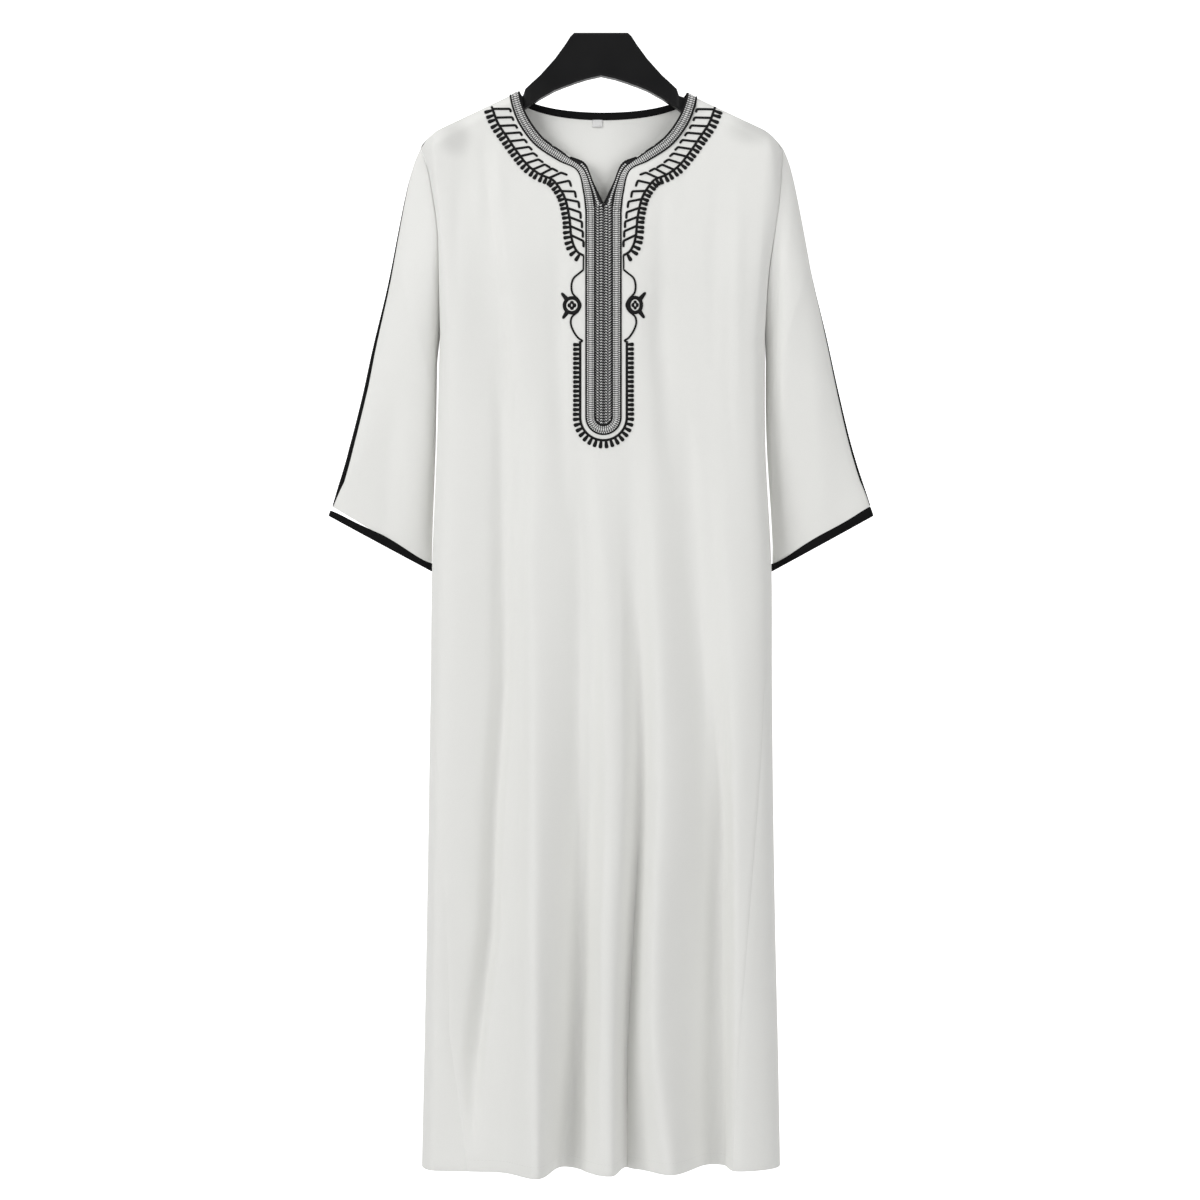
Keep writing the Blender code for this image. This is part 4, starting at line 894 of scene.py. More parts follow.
def sleeve(side):
    turns = np.linspace(0.0, 1.0, SLEEVE_COLUMNS + 1)
    turns[-1] = 0.0
    shares = CUFF_START * np.linspace(0.0, 1.0, SLEEVE_ROWS) ** 1.1
    rows = sleeve_sheet(side, shares, turns)
    free = np.clip(np.minimum(np.arange(SLEEVE_ROWS), np.arange(SLEEVE_ROWS)[::-1] + 4) / 12, 0, 1)
    pressed = creased(rows, SLEEVE_CREASES[side], "front")
    pressed = slow_wave(pressed, SLEEVE_WAVE_SEED[side], **SLEEVE_WAVE)
    pressed[:, -1] = pressed[:, 0]
    rows = rows + (pressed - rows) * free[:, None, None]
    rows[0] -= outward_of(rows)[0] * SEAM_SINK
    piece = fabric_sheet(side + "_sleeve_crepe", [rows], CREPE)
    return on_robe(piece, side + "_sleeve")


sleeves = {side: sleeve(side) for side in SIDES}


# The edging of the cuffs and the back neck: black woven tape folded in half over the raw edge of
# the crepe and stitched down, so that it shows on both sides of the cloth.

TAPE_BLACK = (0.0042, 0.0042, 0.0046)
TAPE_RIB = 0.0006
TAPE_RIB_HEIGHT = 0.00012
# Across the folded tape: how far along from its outer edge (0) to its fold (1), and its lift
TAPE_FOLD = ((0.0, 0.0002), (0.012, 0.0007), (0.08, 0.00105), (0.5, 0.0012), (0.90, 0.00115),
             (0.975, 0.0008), (1.0, 0.0), (0.975, -0.0009), (0.90, -0.0013), (0.5, -0.0013),
             (0.08, -0.0012), (0.0, -0.0007))
TAPE_WAVER = 0.003
# Where the tape's upper edge lies down the sleeve: at the outer fold, halfway, at the inner fold
CUFF_TAPE_TOP = {"left": (0.985, 0.971, 0.969), "right": (0.974, 0.971, 0.971)}


def tape_material(name, colour):
    """Matte black tape with fine crosswise ribs, as a grosgrain has."""
    material, tree, shader = principled(name, colour, 0.8, Sheen_Weight=0.02,
                                        Specular_IOR_Level=0.12)
    tone = place_group(tree, UNEVEN_TONE, Colour=(*colour, 1.0), Patch_size=0.03,
                       Darkening=0.25, Rough_low=0.70, Rough_high=0.88)
    weave = place_group(tree, CREPE_WEAVE, Thread=TAPE_RIB, Pebble=TAPE_RIB)
    join_surface(tree, shader, looks_of(tone), weave.outputs["Height"], 0.7, TAPE_RIB_HEIGHT)
    return material


BLACK_TAPE = tape_material("black_edging_tape", TAPE_BLACK)


def cuff_tape(side):
    turns = np.linspace(0.0, 1.0, SLEEVE_COLUMNS + 1)
    turns[-1] = 0.0
    top = np.interp(0.5 - 0.5 * np.cos(2.0 * math.pi * turns), (0.0, 0.5, 1.0),
                    CUFF_TAPE_TOP[side])
    top = top - TAPE_WAVER * np.sin(9.0 * math.pi * turns) * np.sin(math.pi * turns)
    top = top if side == "left" else top[::-1]
    low = sleeve_sheet(side, (0.95, 1.0), turns)
    out = outward_of(np.array([low[0], 0.5 * (low[0] + low[1]), low[1]]))[1]
    rows = []
    for along, lift in TAPE_FOLD:
        t = (top + (1.0 - top) * along - 0.95) / 0.05
        rows.append(low[0] + (low[1] - low[0]) * t[:, None] + out * lift)
    piece = fabric_sheet(side + "_cuff_tape", [np.array(rows)], BLACK_TAPE)
    return on_robe(piece, side + "_cuff_binding")


def back_neck_tape():
    shares = np.linspace(0.0, 1.0, 97)
    levels = []
    for below in (0.0, BINDING_WIDTH):
        x, z = back_neck(shares, below)
        z = np.minimum(z, shoulder_height(x))
        levels.append(back_drape(np.stack((x, shoulder_depth(x, z, "back"), z), axis=-1)))
    out = outward_of(np.array([levels[0], 0.5 * (levels[0] + levels[1]), levels[1]]))[1]
    rows = [levels[1] + (levels[0] - levels[1]) * along + out * lift for along, lift in TAPE_FOLD]
    piece = fabric_sheet("back_neck_tape", [np.array(rows)], BLACK_TAPE)
    return on_robe(piece, "back_neck_binding")


cuff_tapes = {side: cuff_tape(side) for side in SIDES}
neck_tape = back_neck_tape()


# The label: a small white satin tape that hangs inside the back neck. Its upper end is caught
# under the edging, and nothing is woven or printed on it.

LABEL_PLACE = (-0.0045, -0.1060)
LABEL_SIZE = (0.013, 0.0095)
LABEL_WHITE = (0.70, 0.70, 0.695)
LABEL_THICKNESS = 0.0004
LABEL_WEAVE_HEIGHT = 0.00006
LABEL_CURL = (0.0009, 0.0003)
CREPE_INSIDE = 0.0008


def label_material():
    material, tree, shader = principled("label_satin", LABEL_WHITE, 0.45, Sheen_Weight=0.2)
    weave = place_group(tree, CREPE_WEAVE, Thread=0.00025, Pebble=0.0006)
    colour = scaled_colour(tree, LABEL_WHITE, weave.outputs["Shade"])
    join_surface(tree, shader, {"Base Color": colour.outputs[0]}, weave.outputs["Height"], 0.4,
                 LABEL_WEAVE_HEIGHT)
    return material


def size_label():
    width, tall = LABEL_SIZE
    rows = []
    for share in np.linspace(0.0, 1.0, 9):
        x = LABEL_PLACE[0] + width * np.linspace(0.5, -0.5, 13)
        z = np.full(13, LABEL_PLACE[1] - tall * share)
        curl = LABEL_CURL[0] * share**2 + LABEL_CURL[1] * np.cos(np.linspace(-3.0, 3.0, 13))
        rows.append(back_drape(
            np.stack((x, shoulder_depth(x, z, "back") - CREPE_INSIDE - curl, z), axis=-1)))
    piece = fabric_sheet("size_label_tape", [np.array(rows)], label_material())
    thick = piece.modifiers.new("thickness", "SOLIDIFY")
    thick.thickness = LABEL_THICKNESS
    return on_robe(piece, "size_label")


label = size_label()


# The sleeve braid: a flat black plaited braid sewn along the outer fold of each sleeve, from
# the shoulder to the cuff. On the left it lies a little to the front of the fold.

# Along each braid, shares of the sleeve's length, then where its two sides lie round the sleeve
BRAID_PATH = {"left": ((0.0, 0.08, 0.13, 0.35, 0.60, 0.80, 1.0),
                       (-0.090, -0.080, -0.075, -0.045, -0.020, -0.012, -0.004),
                       (-0.020, -0.006, 0.006, 0.045, 0.064, 0.066, 0.060)),
              "right": ((0.0, 0.25, 0.40, 0.50, 0.80, 1.0),
                        (-0.115, -0.110, -0.070, -0.050, -0.048, -0.045),
                        (-0.040, -0.030, 0.004, 0.034, 0.040, 0.040))}
BRAID_POINT = (0.90, 0.972)
BRAID_THICK = 0.0010
BRAID_ROWS = 420
BRAID_ACROSS = 11
PLAIT_PITCH = 0.0034


def run_along(line):
    """Distance along a line at each of its points."""
    return np.concatenate(([0.0], np.cumsum(np.linalg.norm(np.diff(line, axis=0), axis=1))))


def cloth_tree(piece):
    """Search tree of a cloth's faces, for laying trims on it."""
    return BVHTree.FromPolygons([vertex.co.copy() for vertex in piece.data.vertices],
                                [tuple(face.vertices) for face in piece.data.polygons])


def sleeve_braid(side):
    tree = cloth_tree(sleeves[side])
    stops, low, high = BRAID_PATH[side]
    share = np.linspace(0.0, 1.0, BRAID_ACROSS)
    shares = np.linspace(0.004, BRAID_POINT[1], BRAID_ROWS)
    rows = []
    for t in shares:
        first, last = np.interp(t, stops, low), np.interp(t, stops, high)
        narrow = 1.0 - eased(BRAID_POINT, (0.0, 0.92), t)
        turns = 0.5 * (first + last) + (share - 0.5) * (last - first) * narrow
        rows.append(sleeve_ring(side, t, turns % 1.0))
    rows = np.array(rows)
    along = run_along(rows[:, BRAID_ACROSS // 2])
    across = 2.0 * share - 1.0
    plait = np.cos(2.0 * math.pi * (along[:, None] / PLAIT_PITCH + np.abs(across)[None] * 0.8))
    lift = BRAID_THICK * (1.0 - across**4) * (0.82 + 0.18 * plait) + 0.0002
    for row, column in np.ndindex(lift.shape):
        place, out, *_ = tree.find_nearest(Vector(rows[row, column]))
        rows[row, column] = place + out * lift[row, column]
    rows = rows if side == "left" else rows[:, ::-1]
    piece = fabric_sheet(side + "_sleeve_braid", [rows], BLACK_TAPE)
    return on_robe(piece, side + "_sleeve_piping")


sleeve_braids = {side: sleeve_braid(side) for side in SIDES}


# The placket band: a flat grey chain braid about 11 mm wide between two black cords. It runs
# from the left shoulder round the neckline, down beside the slit, round the foot of the placket
# and back up to the right shoulder.

PLACKET_ROUND_Z = -0.482
BAND_OUTER = 0.0215
BAND_INNER = 0.0105
BRAID_INSET = 0.0009
BAND_INNER_FLARE = ((0.0252, -0.1730), (0.0158, -0.1955), (0.0104, -0.2225))
BAND_LIFT = 0.0009
CORD_WIDTH = 0.0020
CORD_HIGH = 0.0011
CHAIN_PITCH = 0.00262
CHAIN_HIGH = 0.00055
# Columns of links: where across the band, and half their width and length
CHAIN_COLUMNS = ((0.19, 0.0010, 0.0008), (0.50, 0.0025, 0.0009), (0.82, 0.0010, 0.0008))
BAND_GREY = (0.100, 0.100, 0.100)
CHAIN_GREY = (0.84, 0.84, 0.83)
THREAD_BLACK = (0.0040, 0.0040, 0.0042)
SHORT_STEP = 0.0002
THREAD_TWIST = 0.00045
THREAD_HEIGHT = 0.00012

front_tree = cloth_tree(front_panel)


def laid_on_front(flat, heights):
    """Points on the front cloth, straight in from places across and up, raised off it."""
    points = []
    for (x, z), high in zip(flat, heights):
        place, out, *_ = front_tree.ray_cast(Vector((x, -1.0, z)), Vector((0.0, 1.0, 0.0)))
        if place is None:
            place, out, *_ = front_tree.find_nearest(Vector((x, -0.01, z)))
        points.append(place + out * high)
    return points


def sewn_piece(name, parts, material, node=None):
    """One piece of needlework from flat parts: places, heights, faces and thread directions."""
    starts = np.cumsum([0] + [len(part[0]) for part in parts])
    points = laid_on_front(np.concatenate([part[0] for part in parts]),
                           np.concatenate([part[1] for part in parts]))
    faces = np.concatenate([part[2] + start for part, start in zip(parts, starts)])
    piece = plain_mesh(name, points, faces.tolist(), material)
    thread = np.concatenate([part[3] for part in parts])
    layer = piece.data.uv_layers.new(name="thread")
    corners = np.zeros(len(piece.data.loops), np.int64)
    piece.data.loops.foreach_get("vertex_index", corners)
    layer.data.foreach_set("uv", thread[corners].astype(np.float32).ravel())
    return on_robe(piece, node)


def read_along(at, run, line):
    """Points of a line at distances along it."""
    return np.column_stack([np.interp(at, run, column) for column in line.T])


def even_places(line, pitch, inset=0.0):
    """Places at an even pitch along a line, and the directions there."""
    line = np.asarray(line, float)
    run = run_along(line)
    count = max(int(round((run[-1] - 2.0 * inset) / pitch)), 1)
    at = inset + (np.arange(count) + 0.5) * (run[-1] - 2.0 * inset) / count
    along = read_along(at + SHORT_STEP, run, line) - read_along(at - SHORT_STEP, run, line)
    return read_along(at, run, line), unit(along)


def on_side(flat, sign=1.0):
    """Places on one side of the robe's axis, from ones measured out from it."""
    return np.asarray(flat) * (sign, 1.0) + (AXIS_X, 0.0)


def aside_of(along):
    """Directions in the flat, a quarter turn to the left."""
    return np.stack((-along[..., 1], along[..., 0]), axis=-1)


def turned(along, degrees):
    turn = math.radians(degrees)
    return along * math.cos(turn) + aside_of(along) * math.sin(turn)


def grid_part(flat, lifts, along, across, flipped=False):
    """Part from rows of places: its heights, its faces and how the thread runs over it."""
    faces = sheet_faces(*flat.shape[:2])
    thread = np.stack(np.broadcast_arrays(along, across), axis=-1)
    return (flat.reshape(-1, 2), np.broadcast_to(lifts, flat.shape[:2]).ravel(),
            faces[:, ::-1] if flipped else faces, thread.reshape(-1, 2))


def cord_part(line, half_widths, high, base=0.0003):
    """Raised cord or satin bar along a line: a dome across it, with the given half widths."""
    line = np.asarray(line, float)
    half = np.broadcast_to(np.asarray(half_widths, float), len(line))
    aside = aside_of(unit(np.gradient(line, axis=0)))
    across = np.array((-1.0, -0.86, -0.45, 0.0, 0.45, 0.86, 1.0))
    flat = line[:, None] + aside[:, None] * (across[None, :, None] * half[:, None, None])
    dome = np.sqrt(1.0 - across**2)[None] * (half / half.max())[:, None] ** 0.5
    return grid_part(flat, base + high * dome, run_along(line)[:, None], across * half[:, None])


def seed_parts(places, along, half_long, half_wide, high, base=0.0, tilt=0.0):
    """Small oval stitches, one at each place: half_long lies along the line, half_wide across."""
    ahead = turned(along, tilt)
    aside = aside_of(ahead)
    angles = np.linspace(0.0, 2.0 * math.pi, 8, endpoint=False)
    rings = ((1.0, 0.0), (0.78, 0.72), (0.0, 1.0))
    local, lift = [], []
    for reach, rise in rings:
        for angle in angles:
            local.append((reach * half_long * math.cos(angle), reach * half_wide * math.sin(angle)))
            lift.append(base + high * rise)
    local = np.array(local)
    flat = (places[:, None] + ahead[:, None] * local[None, :, :1]
            + aside[:, None] * local[None, :, 1:])
    faces = []
    for ring in range(2):
        for k in range(8):
            a, b = ring * 8 + k, ring * 8 + (k + 1) % 8
            faces.append((a, b, b + 8, a + 8))
    count = len(places)
    faces = (np.array(faces)[None] + np.arange(count)[:, None, None] * len(local)).reshape(-1, 4)
    return (flat.reshape(-1, 2), np.tile(lift, count), faces,
            np.tile(local, (count, 1)))


def placket_side(line_stops, half, steps=60):
    """One edge of the band: down from the left shoulder, round the foot, up to the right one."""
    left = smooth_through(line_stops, np.linspace(0.0, 10.0, steps * 2))
    down = np.column_stack((np.full(steps, half),
                            np.linspace(left[-1, 1], PLACKET_ROUND_Z, steps + 1)[1:]))
    angles = np.linspace(0.0, math.pi / 2, 16)[1:]
    turn = np.column_stack((half * np.cos(angles), PLACKET_ROUND_Z - half * np.sin(angles)))
    quarter = np.vstack((left, down, turn))
    return on_side(np.vstack((quarter * (-1.0, 1.0), quarter[-2::-1])))


def inset_stops():
    """Inner edge of the band: just inside the neck edge, then beside the middle of the placket."""
    stops = []
    for edge, line in zip(NECK_EDGE_STOPS[:8], BRAID_LINE_STOPS[:8]):
        edge, line = np.array(edge), np.array(line)
        stops.append(edge + unit(line - edge) * BRAID_INSET)
    return stops + [np.array(place) for place in BAND_INNER_FLARE]


def thread_twist_group():
    """Height, gloss and colour of laid threads, from how far along the thread's own piece they lie;
    the colour carries painted shade in the grooves between the twists.
    """
    group, given, out = new_group(
        "thread_twist",
        (("Colour", "Color", (0.01, 0.01, 0.01, 1.0)), ("Pitch", "Float", THREAD_TWIST),
         ("Slant", "Float", 0.5)),
        (("Colour", "Color"), ("Height", "Float"), ("Roughness", "Float")))
    place = node_of(group, "ShaderNodeUVMap", uv_map="thread")
    split = node_of(group, "ShaderNodeSeparateXYZ", {0: place.outputs[0]})
    slanted = number_of(group, "MULTIPLY_ADD", split.outputs["Y"], given.outputs["Slant"],
                        split.outputs["X"])
    turns = number_of(group, "DIVIDE", slanted, given.outputs["Pitch"])
    wave = number_of(group, "COSINE", number_of(group, "MULTIPLY", turns, 2.0 * math.pi))
    height = node_of(group, "ShaderNodeMapRange", {"Value": wave, "From Min": -1.0})
    rough = node_of(group, "ShaderNodeMapRange",
                    {"Value": height.outputs[0], "To Min": 0.75, "To Max": 0.5})
    # Painted shade: the thread's colour darkens to 72 % in the grooves between its twists
    keep = node_of(group, "ShaderNodeMapRange",
                   {"Value": height.outputs[0], "To Min": 0.72, "To Max": 1.0})
    colour = scaled_colour(group, given.outputs["Colour"], keep.outputs[0])
    put_out(group, out, Colour=colour, Height=height, Roughness=rough)
    return group


THREAD_GROUP = thread_twist_group()


def thread_material(name, colour, pitch=THREAD_TWIST, slant=0.5):
    material, tree, shader = principled(name, colour, 0.6, Sheen_Weight=0.02,
                                        Specular_IOR_Level=0.2)
    twist = place_group(tree, THREAD_GROUP, Colour=(*colour, 1.0), Pitch=pitch, Slant=slant)
    join_surface(tree, shader, looks_of(twist), twist.outputs["Height"], 0.8, THREAD_HEIGHT)
    return material


BLACK_THREAD = thread_material("black_thread", THREAD_BLACK)
BAND_THREAD = thread_material("grey_band", BAND_GREY, 0.0007, 1.0)
CHAIN_THREAD = thread_material("pale_chain", CHAIN_GREY, 0.0005, 0.4)

band_outer = placket_side(BRAID_LINE_STOPS, BAND_OUTER)
band_inner = placket_side(inset_stops(), BAND_INNER)


def band_tape():
    """The flat ground of the band, a little crowned between its two cords."""
    share = np.linspace(0.02, 0.98, 7)
    flat = band_inner[:, None] + (band_outer - band_inner)[:, None] * share[None, :, None]
    lift = BAND_LIFT * (0.55 + 0.45 * np.sin(math.pi * share))
    return grid_part(flat, lift, run_along(band_outer)[:, None],
                     (BAND_OUTER - BAND_INNER) * share, flipped=True)


def band_chain():
    """Three columns of links: a broad one down the middle and a narrow one on each side."""
    parts = []
    for share, half_wide, half_long in CHAIN_COLUMNS:
        line = band_inner + (band_outer - band_inner) * share
        places, along = even_places(line, CHAIN_PITCH, 0.001)
        parts.append(seed_parts(places, along, half_long, half_wide, CHAIN_HIGH,
                                BAND_LIFT * 0.85))
    return parts


band = sewn_piece("placket_band", [band_tape()], BAND_THREAD, "neck_braid")
band_links = sewn_piece("placket_band_chain", band_chain(), CHAIN_THREAD)
band_cords = sewn_piece("placket_band_cords",
                        [cord_part(line, CORD_WIDTH / 2, CORD_HIGH, 0.0003)
                         for line in (band_outer, band_inner)], BLACK_THREAD)


# The middle of the placket: two herringbone braids side by side in grey with pale stitches, from
# the foot of the slit to the round end. Their outer rows part and run up both edges of the slit.

CORE_LIFT = 0.0007
CORE_PITCH = 0.00345
CORE_TOP = -0.2175
CORE_HALF = 0.0100
CORE_ROUND = 0.0101
# Columns of stitches: how far across, and their slant in degrees
PALE_COLUMNS = ((-0.0073, -32.0), (-0.0030, 32.0), (0.0034, -32.0), (0.0075, 32.0))
STROKE_COLUMNS = ((-0.0093, -35.0), (-0.0051, 0.0), (-0.0010, 38.0), (0.0012, -38.0),
                  (0.0055, 0.0), (0.0095, 35.0))
COLUMN_TOP = ((0.0, 0.004, 0.008), (-0.2225, -0.2185, -0.2105))
COLUMN_ROUND = 0.0092
# Stitches: half their length, half their width and their height
PALE_STITCH = (0.00074, 0.00150, 0.0007)
STROKE_STITCH = (0.00050, 0.0012, 0.0004)
SLIT_STITCH = (0.0009, 0.0014, 0.0006)
SLIT_STITCH_PLACE = 0.52
FOOT_STITCH = ((0.0, -0.2175), (0.0, -0.2205), (0.0, -0.2260), (0.0, -0.2300))
FOOT_STITCH_HALF = (0.0010, 0.0011, 0.0007, 0.0003)
CORE_GREY = (0.016, 0.016, 0.017)
STROKE_GREY = (0.44, 0.44, 0.44)
PALE_THREAD = (0.86, 0.86, 0.85)
SLIT_START = 7.25
SLIT_INSET = 0.0009


def core_tape():
    """Dark ground of the two braids: straight, with a round end."""
    z = np.concatenate((np.linspace(CORE_TOP, PLACKET_ROUND_Z, 70),
                        PLACKET_ROUND_Z - CORE_HALF * np.sin(np.linspace(0.1, math.pi / 2, 10))))
    below = np.minimum(z - PLACKET_ROUND_Z, 0.0) / CORE_ROUND
    half = CORE_HALF * np.sqrt(np.clip(1.0 - below**2, 0.0, 1.0))
    across = half[:, None] * np.linspace(-1.0, 1.0, 9)
    flat = np.stack(np.broadcast_arrays(AXIS_X + across, z[:, None]), axis=-1)
    return grid_part(flat, CORE_LIFT, -z[:, None], across)


def slit_line(steps):
    """Line just outside the neck edge, from a little above the slit down to its foot."""
    edge = smooth_through(NECK_EDGE_STOPS, np.linspace(SLIT_START, 10.0, steps))
    return edge + aside_of(unit(np.gradient(edge, axis=0))) * SLIT_INSET


def beside_slit(steps):
    """The inner line of the band, level with the line of the slit."""
    return smooth_through(inset_stops(), np.linspace(SLIT_START, 10.0, steps))


def slit_tape(sign):
    """Dark ground between the inner cord of the band and one edge of the slit."""
    inner, outer = slit_line(40), beside_slit(40)
    across = np.linspace(0.04, 0.98, 5)
    flat = inner[:, None] + (outer - inner)[:, None] * across[None, :, None]
    return grid_part(on_side(flat, sign), CORE_LIFT, flat[..., 0], flat[..., 1], sign < 0.0)


def core_stitches(size, columns):
    parts = []
    for x, tilt in columns:
        foot = PLACKET_ROUND_Z - math.sqrt(max(COLUMN_ROUND**2 - x * x, 0.0))
        start = np.interp(abs(x), *COLUMN_TOP)
        start += CORE_PITCH / 2 * (len(parts) % 2)
        line = np.column_stack((np.full(90, AXIS_X + x), np.linspace(start, foot, 90)))
        places, along = even_places(line, CORE_PITCH)
        parts.append(seed_parts(places, along, *size, CORE_LIFT, tilt))
    return parts


def slit_stitches(sign):
    inner, outer = slit_line(60)[12:], beside_slit(60)[12:]
    line = on_side(inner + (outer - inner) * SLIT_STITCH_PLACE, sign)
    places, along = even_places(line, CORE_PITCH * 0.8)
    return seed_parts(places, along, *SLIT_STITCH, CORE_LIFT, 20.0 * sign)


CORE_THREAD = thread_material("dark_core", CORE_GREY, 0.0008, 1.0)
STROKE_THREAD = thread_material("grey_strokes", STROKE_GREY, 0.0004, 0.3)
SEED_THREAD = thread_material("pale_stitches", PALE_THREAD, 0.0004, 0.3)
core = sewn_piece("placket_core", [core_tape(), slit_tape(-1.0), slit_tape(1.0)], CORE_THREAD,
                  "placket_braid")
core_seeds = sewn_piece(
    "placket_core_pale_stitches",
    core_stitches(PALE_STITCH, PALE_COLUMNS) + [slit_stitches(sign) for sign in (-1.0, 1.0)],
    SEED_THREAD)
core_strokes = sewn_piece("placket_core_grey_strokes",
                          core_stitches(STROKE_STITCH, STROKE_COLUMNS), STROKE_THREAD)
slit_cords = sewn_piece(
    "slit_edge_cords",
    [cord_part(on_side(slit_line(60), sign), CORD_WIDTH / 2, CORD_HIGH) for sign in (-1.0, 1.0)]
    + [cord_part(on_side(FOOT_STITCH), FOOT_STITCH_HALF, CORD_HIGH, 0.0005)],
    BLACK_THREAD)


# The comb borders: black satin-stitch teeth that stand out from a cord. One border runs down from
# each shoulder beside the neck, and one goes round the lower half of the placket.

COMB_LINE = ((0.1390, -0.0942), (0.1316, -0.1146), (0.1200, -0.1326), (0.1066, -0.1523),
             (0.0926, -0.1696), (0.0776, -0.1803), (0.0636, -0.1865), (0.0570, -0.1939),
             (0.0482, -0.2090), (0.0424, -0.2337), (0.0398, -0.2590), (0.0366, -0.2703),
             (0.0317, -0.2782), (0.0246, -0.2826))
COMB_FOOT = ((0.0246, -0.2826), (0.0249, -0.2915), (0.0249, -0.3004))
FOOT_CORD = 0.0018
COMB_CORD = 0.0030
TOOTH_WIDE = 0.0047
TOOTH_HIGH = 0.0012
# Out along a tooth: shares of its length, and of its greatest width
TOOTH_SHAPE = ((0.0, 0.2, 0.45, 0.7, 0.84, 0.93, 0.98, 1.0),
               (0.60, 0.70, 0.86, 1.0, 1.0, 0.84, 0.58, 0.15))
UPPER_TOOTH = ((0.0, 0.35, 0.8, 1.0), (0.0112, 0.0098, 0.0092, 0.0108))
UPPER_PITCH = 0.0061
LOWER_COMB_HALF = 0.0288
LOWER_COMB_TOP = -0.3893
LOWER_TOOTH = ((-0.52, -0.485, -0.46), (0.0106, 0.0092, 0.0088))
LOWER_PITCH = 0.0057


def tooth(root, ahead, length, lean=0.0):
    """One satin tooth: narrow where it leaves the cord, round and full at its tip."""
    share, wide = np.array(TOOTH_SHAPE)
    line = root + turned(ahead, lean) * length * share[:, None]
    return cord_part(line, TOOTH_WIDE / 2 * wide, TOOTH_HIGH)


def comb_lines(sign):
    line = smooth_through(COMB_LINE, np.linspace(0.0, len(COMB_LINE) - 1, 160))
    foot = smooth_through(COMB_FOOT, np.linspace(0.0, 2.0, 12))
    return on_side(line, sign), on_side(foot, sign)


def upper_comb(sign):
    line, foot = comb_lines(sign)
    places, along = even_places(line, UPPER_PITCH, 0.002)
    parts = [cord_part(line, COMB_CORD / 2, CORD_HIGH), cord_part(foot, FOOT_CORD / 2, CORD_HIGH)]
    for k, (root, ahead) in enumerate(zip(places, along)):
        share = k / (len(places) - 1)
        lean = 3.0 if k % 2 else -2.0
        parts.append(tooth(root, aside_of(ahead) * sign, np.interp(share, *UPPER_TOOTH), lean))
    return parts


def lower_comb():
    half, top = LOWER_COMB_HALF, LOWER_COMB_TOP
    angles = np.linspace(0.0, math.pi, 50)[1:-1]
    left = [(-half, z) for z in np.linspace(top, PLACKET_ROUND_Z, 60)]
    turn = [(-half * math.cos(angle), PLACKET_ROUND_Z - half * math.sin(angle))
            for angle in angles]
    right = [(half, z) for z in np.linspace(PLACKET_ROUND_Z, top, 60)]
    line = on_side(left + turn + right)
    places, along = even_places(line, LOWER_PITCH, 0.0005)
    parts = [cord_part(line, COMB_CORD / 2, CORD_HIGH)]
    for root, ahead in zip(places, along):
        parts.append(tooth(root, -aside_of(ahead), np.interp(root[1], *LOWER_TOOTH)))
    return parts


comb = sewn_piece("comb_borders", upper_comb(-1.0) + upper_comb(1.0) + lower_comb(),
                  BLACK_THREAD)


# The ladder hooks: 18 stitched bars on each side between the comb border and the band, each with
# a short leg that turns down beside the band.

HOOK_COUNT = 18
HOOK_START = 0.015
HOOK_SPAN = 0.848
NECK_POINTS = 180
HOOK_WIDE = 0.0030
HOOK_HIGH = 0.0010
HOOK_SLANT = ((0.0, 0.29, 0.53, 0.59, 0.65, 0.71, 0.82, 1.0),
              (1.0, 8.0, 28.0, 24.0, 12.0, -3.5, -20.0, -26.0))
HOOK_REACH = ((0.0, 0.4, 1.0), (0.0215, 0.0163, 0.0172))
LEG_REACH = ((0.0, 0.3, 0.5, 1.0), (0.0045, 0.0060, 0.0085, 0.0080))


def ladder_hook(root, share, sign, band_line):
    slant = math.radians(np.interp(share, *HOOK_SLANT))
    reach = np.interp(share, *HOOK_REACH)
    corner = root + reach * np.array((-sign * math.cos(slant), math.sin(slant)))
    near = int(np.argmin(np.linalg.norm(band_line - corner, axis=1)))
    near = min(max(near, 2), len(band_line) - 3)
    down = unit(band_line[near + 2] - band_line[near - 2])
    down = down if down[1] < 0.0 else -down
    end = corner + down * np.interp(share, *LEG_REACH)
    bar = [root + (corner - root) * part for part in np.linspace(0.0, 0.94, 7)]
    bend = [corner + (root - corner) * 0.02 + (end - corner) * 0.06]
    leg = [corner + (end - corner) * part for part in (0.25, 0.5, 0.75, 0.93, 1.0)]
    half = HOOK_WIDE / 2 * np.array([1.0] * 11 + [0.8, 0.3])
    return cord_part(np.array(bar + bend + leg), half, HOOK_HIGH)


def ladder_hooks():
    parts = []
    for sign, band_line in ((-1.0, band_outer[:NECK_POINTS]),
                            (1.0, band_outer[::-1][:NECK_POINTS])):
        line = comb_lines(sign)[0]
        run = run_along(line)
        for k in range(HOOK_COUNT):
            share = k / (HOOK_COUNT - 1)
            root = read_along([run[-1] * (HOOK_START + HOOK_SPAN * share)], run, line)[0]
            parts.append(ladder_hook(root, share, sign, band_line))
    return parts


hooks = sewn_piece("ladder_hooks", ladder_hooks(), BLACK_THREAD)


# The rosettes: one on each side of the placket, a black ring with a four-lobed heart and two
# spikes, in the waist of a double loop of cord that joins the two comb borders.

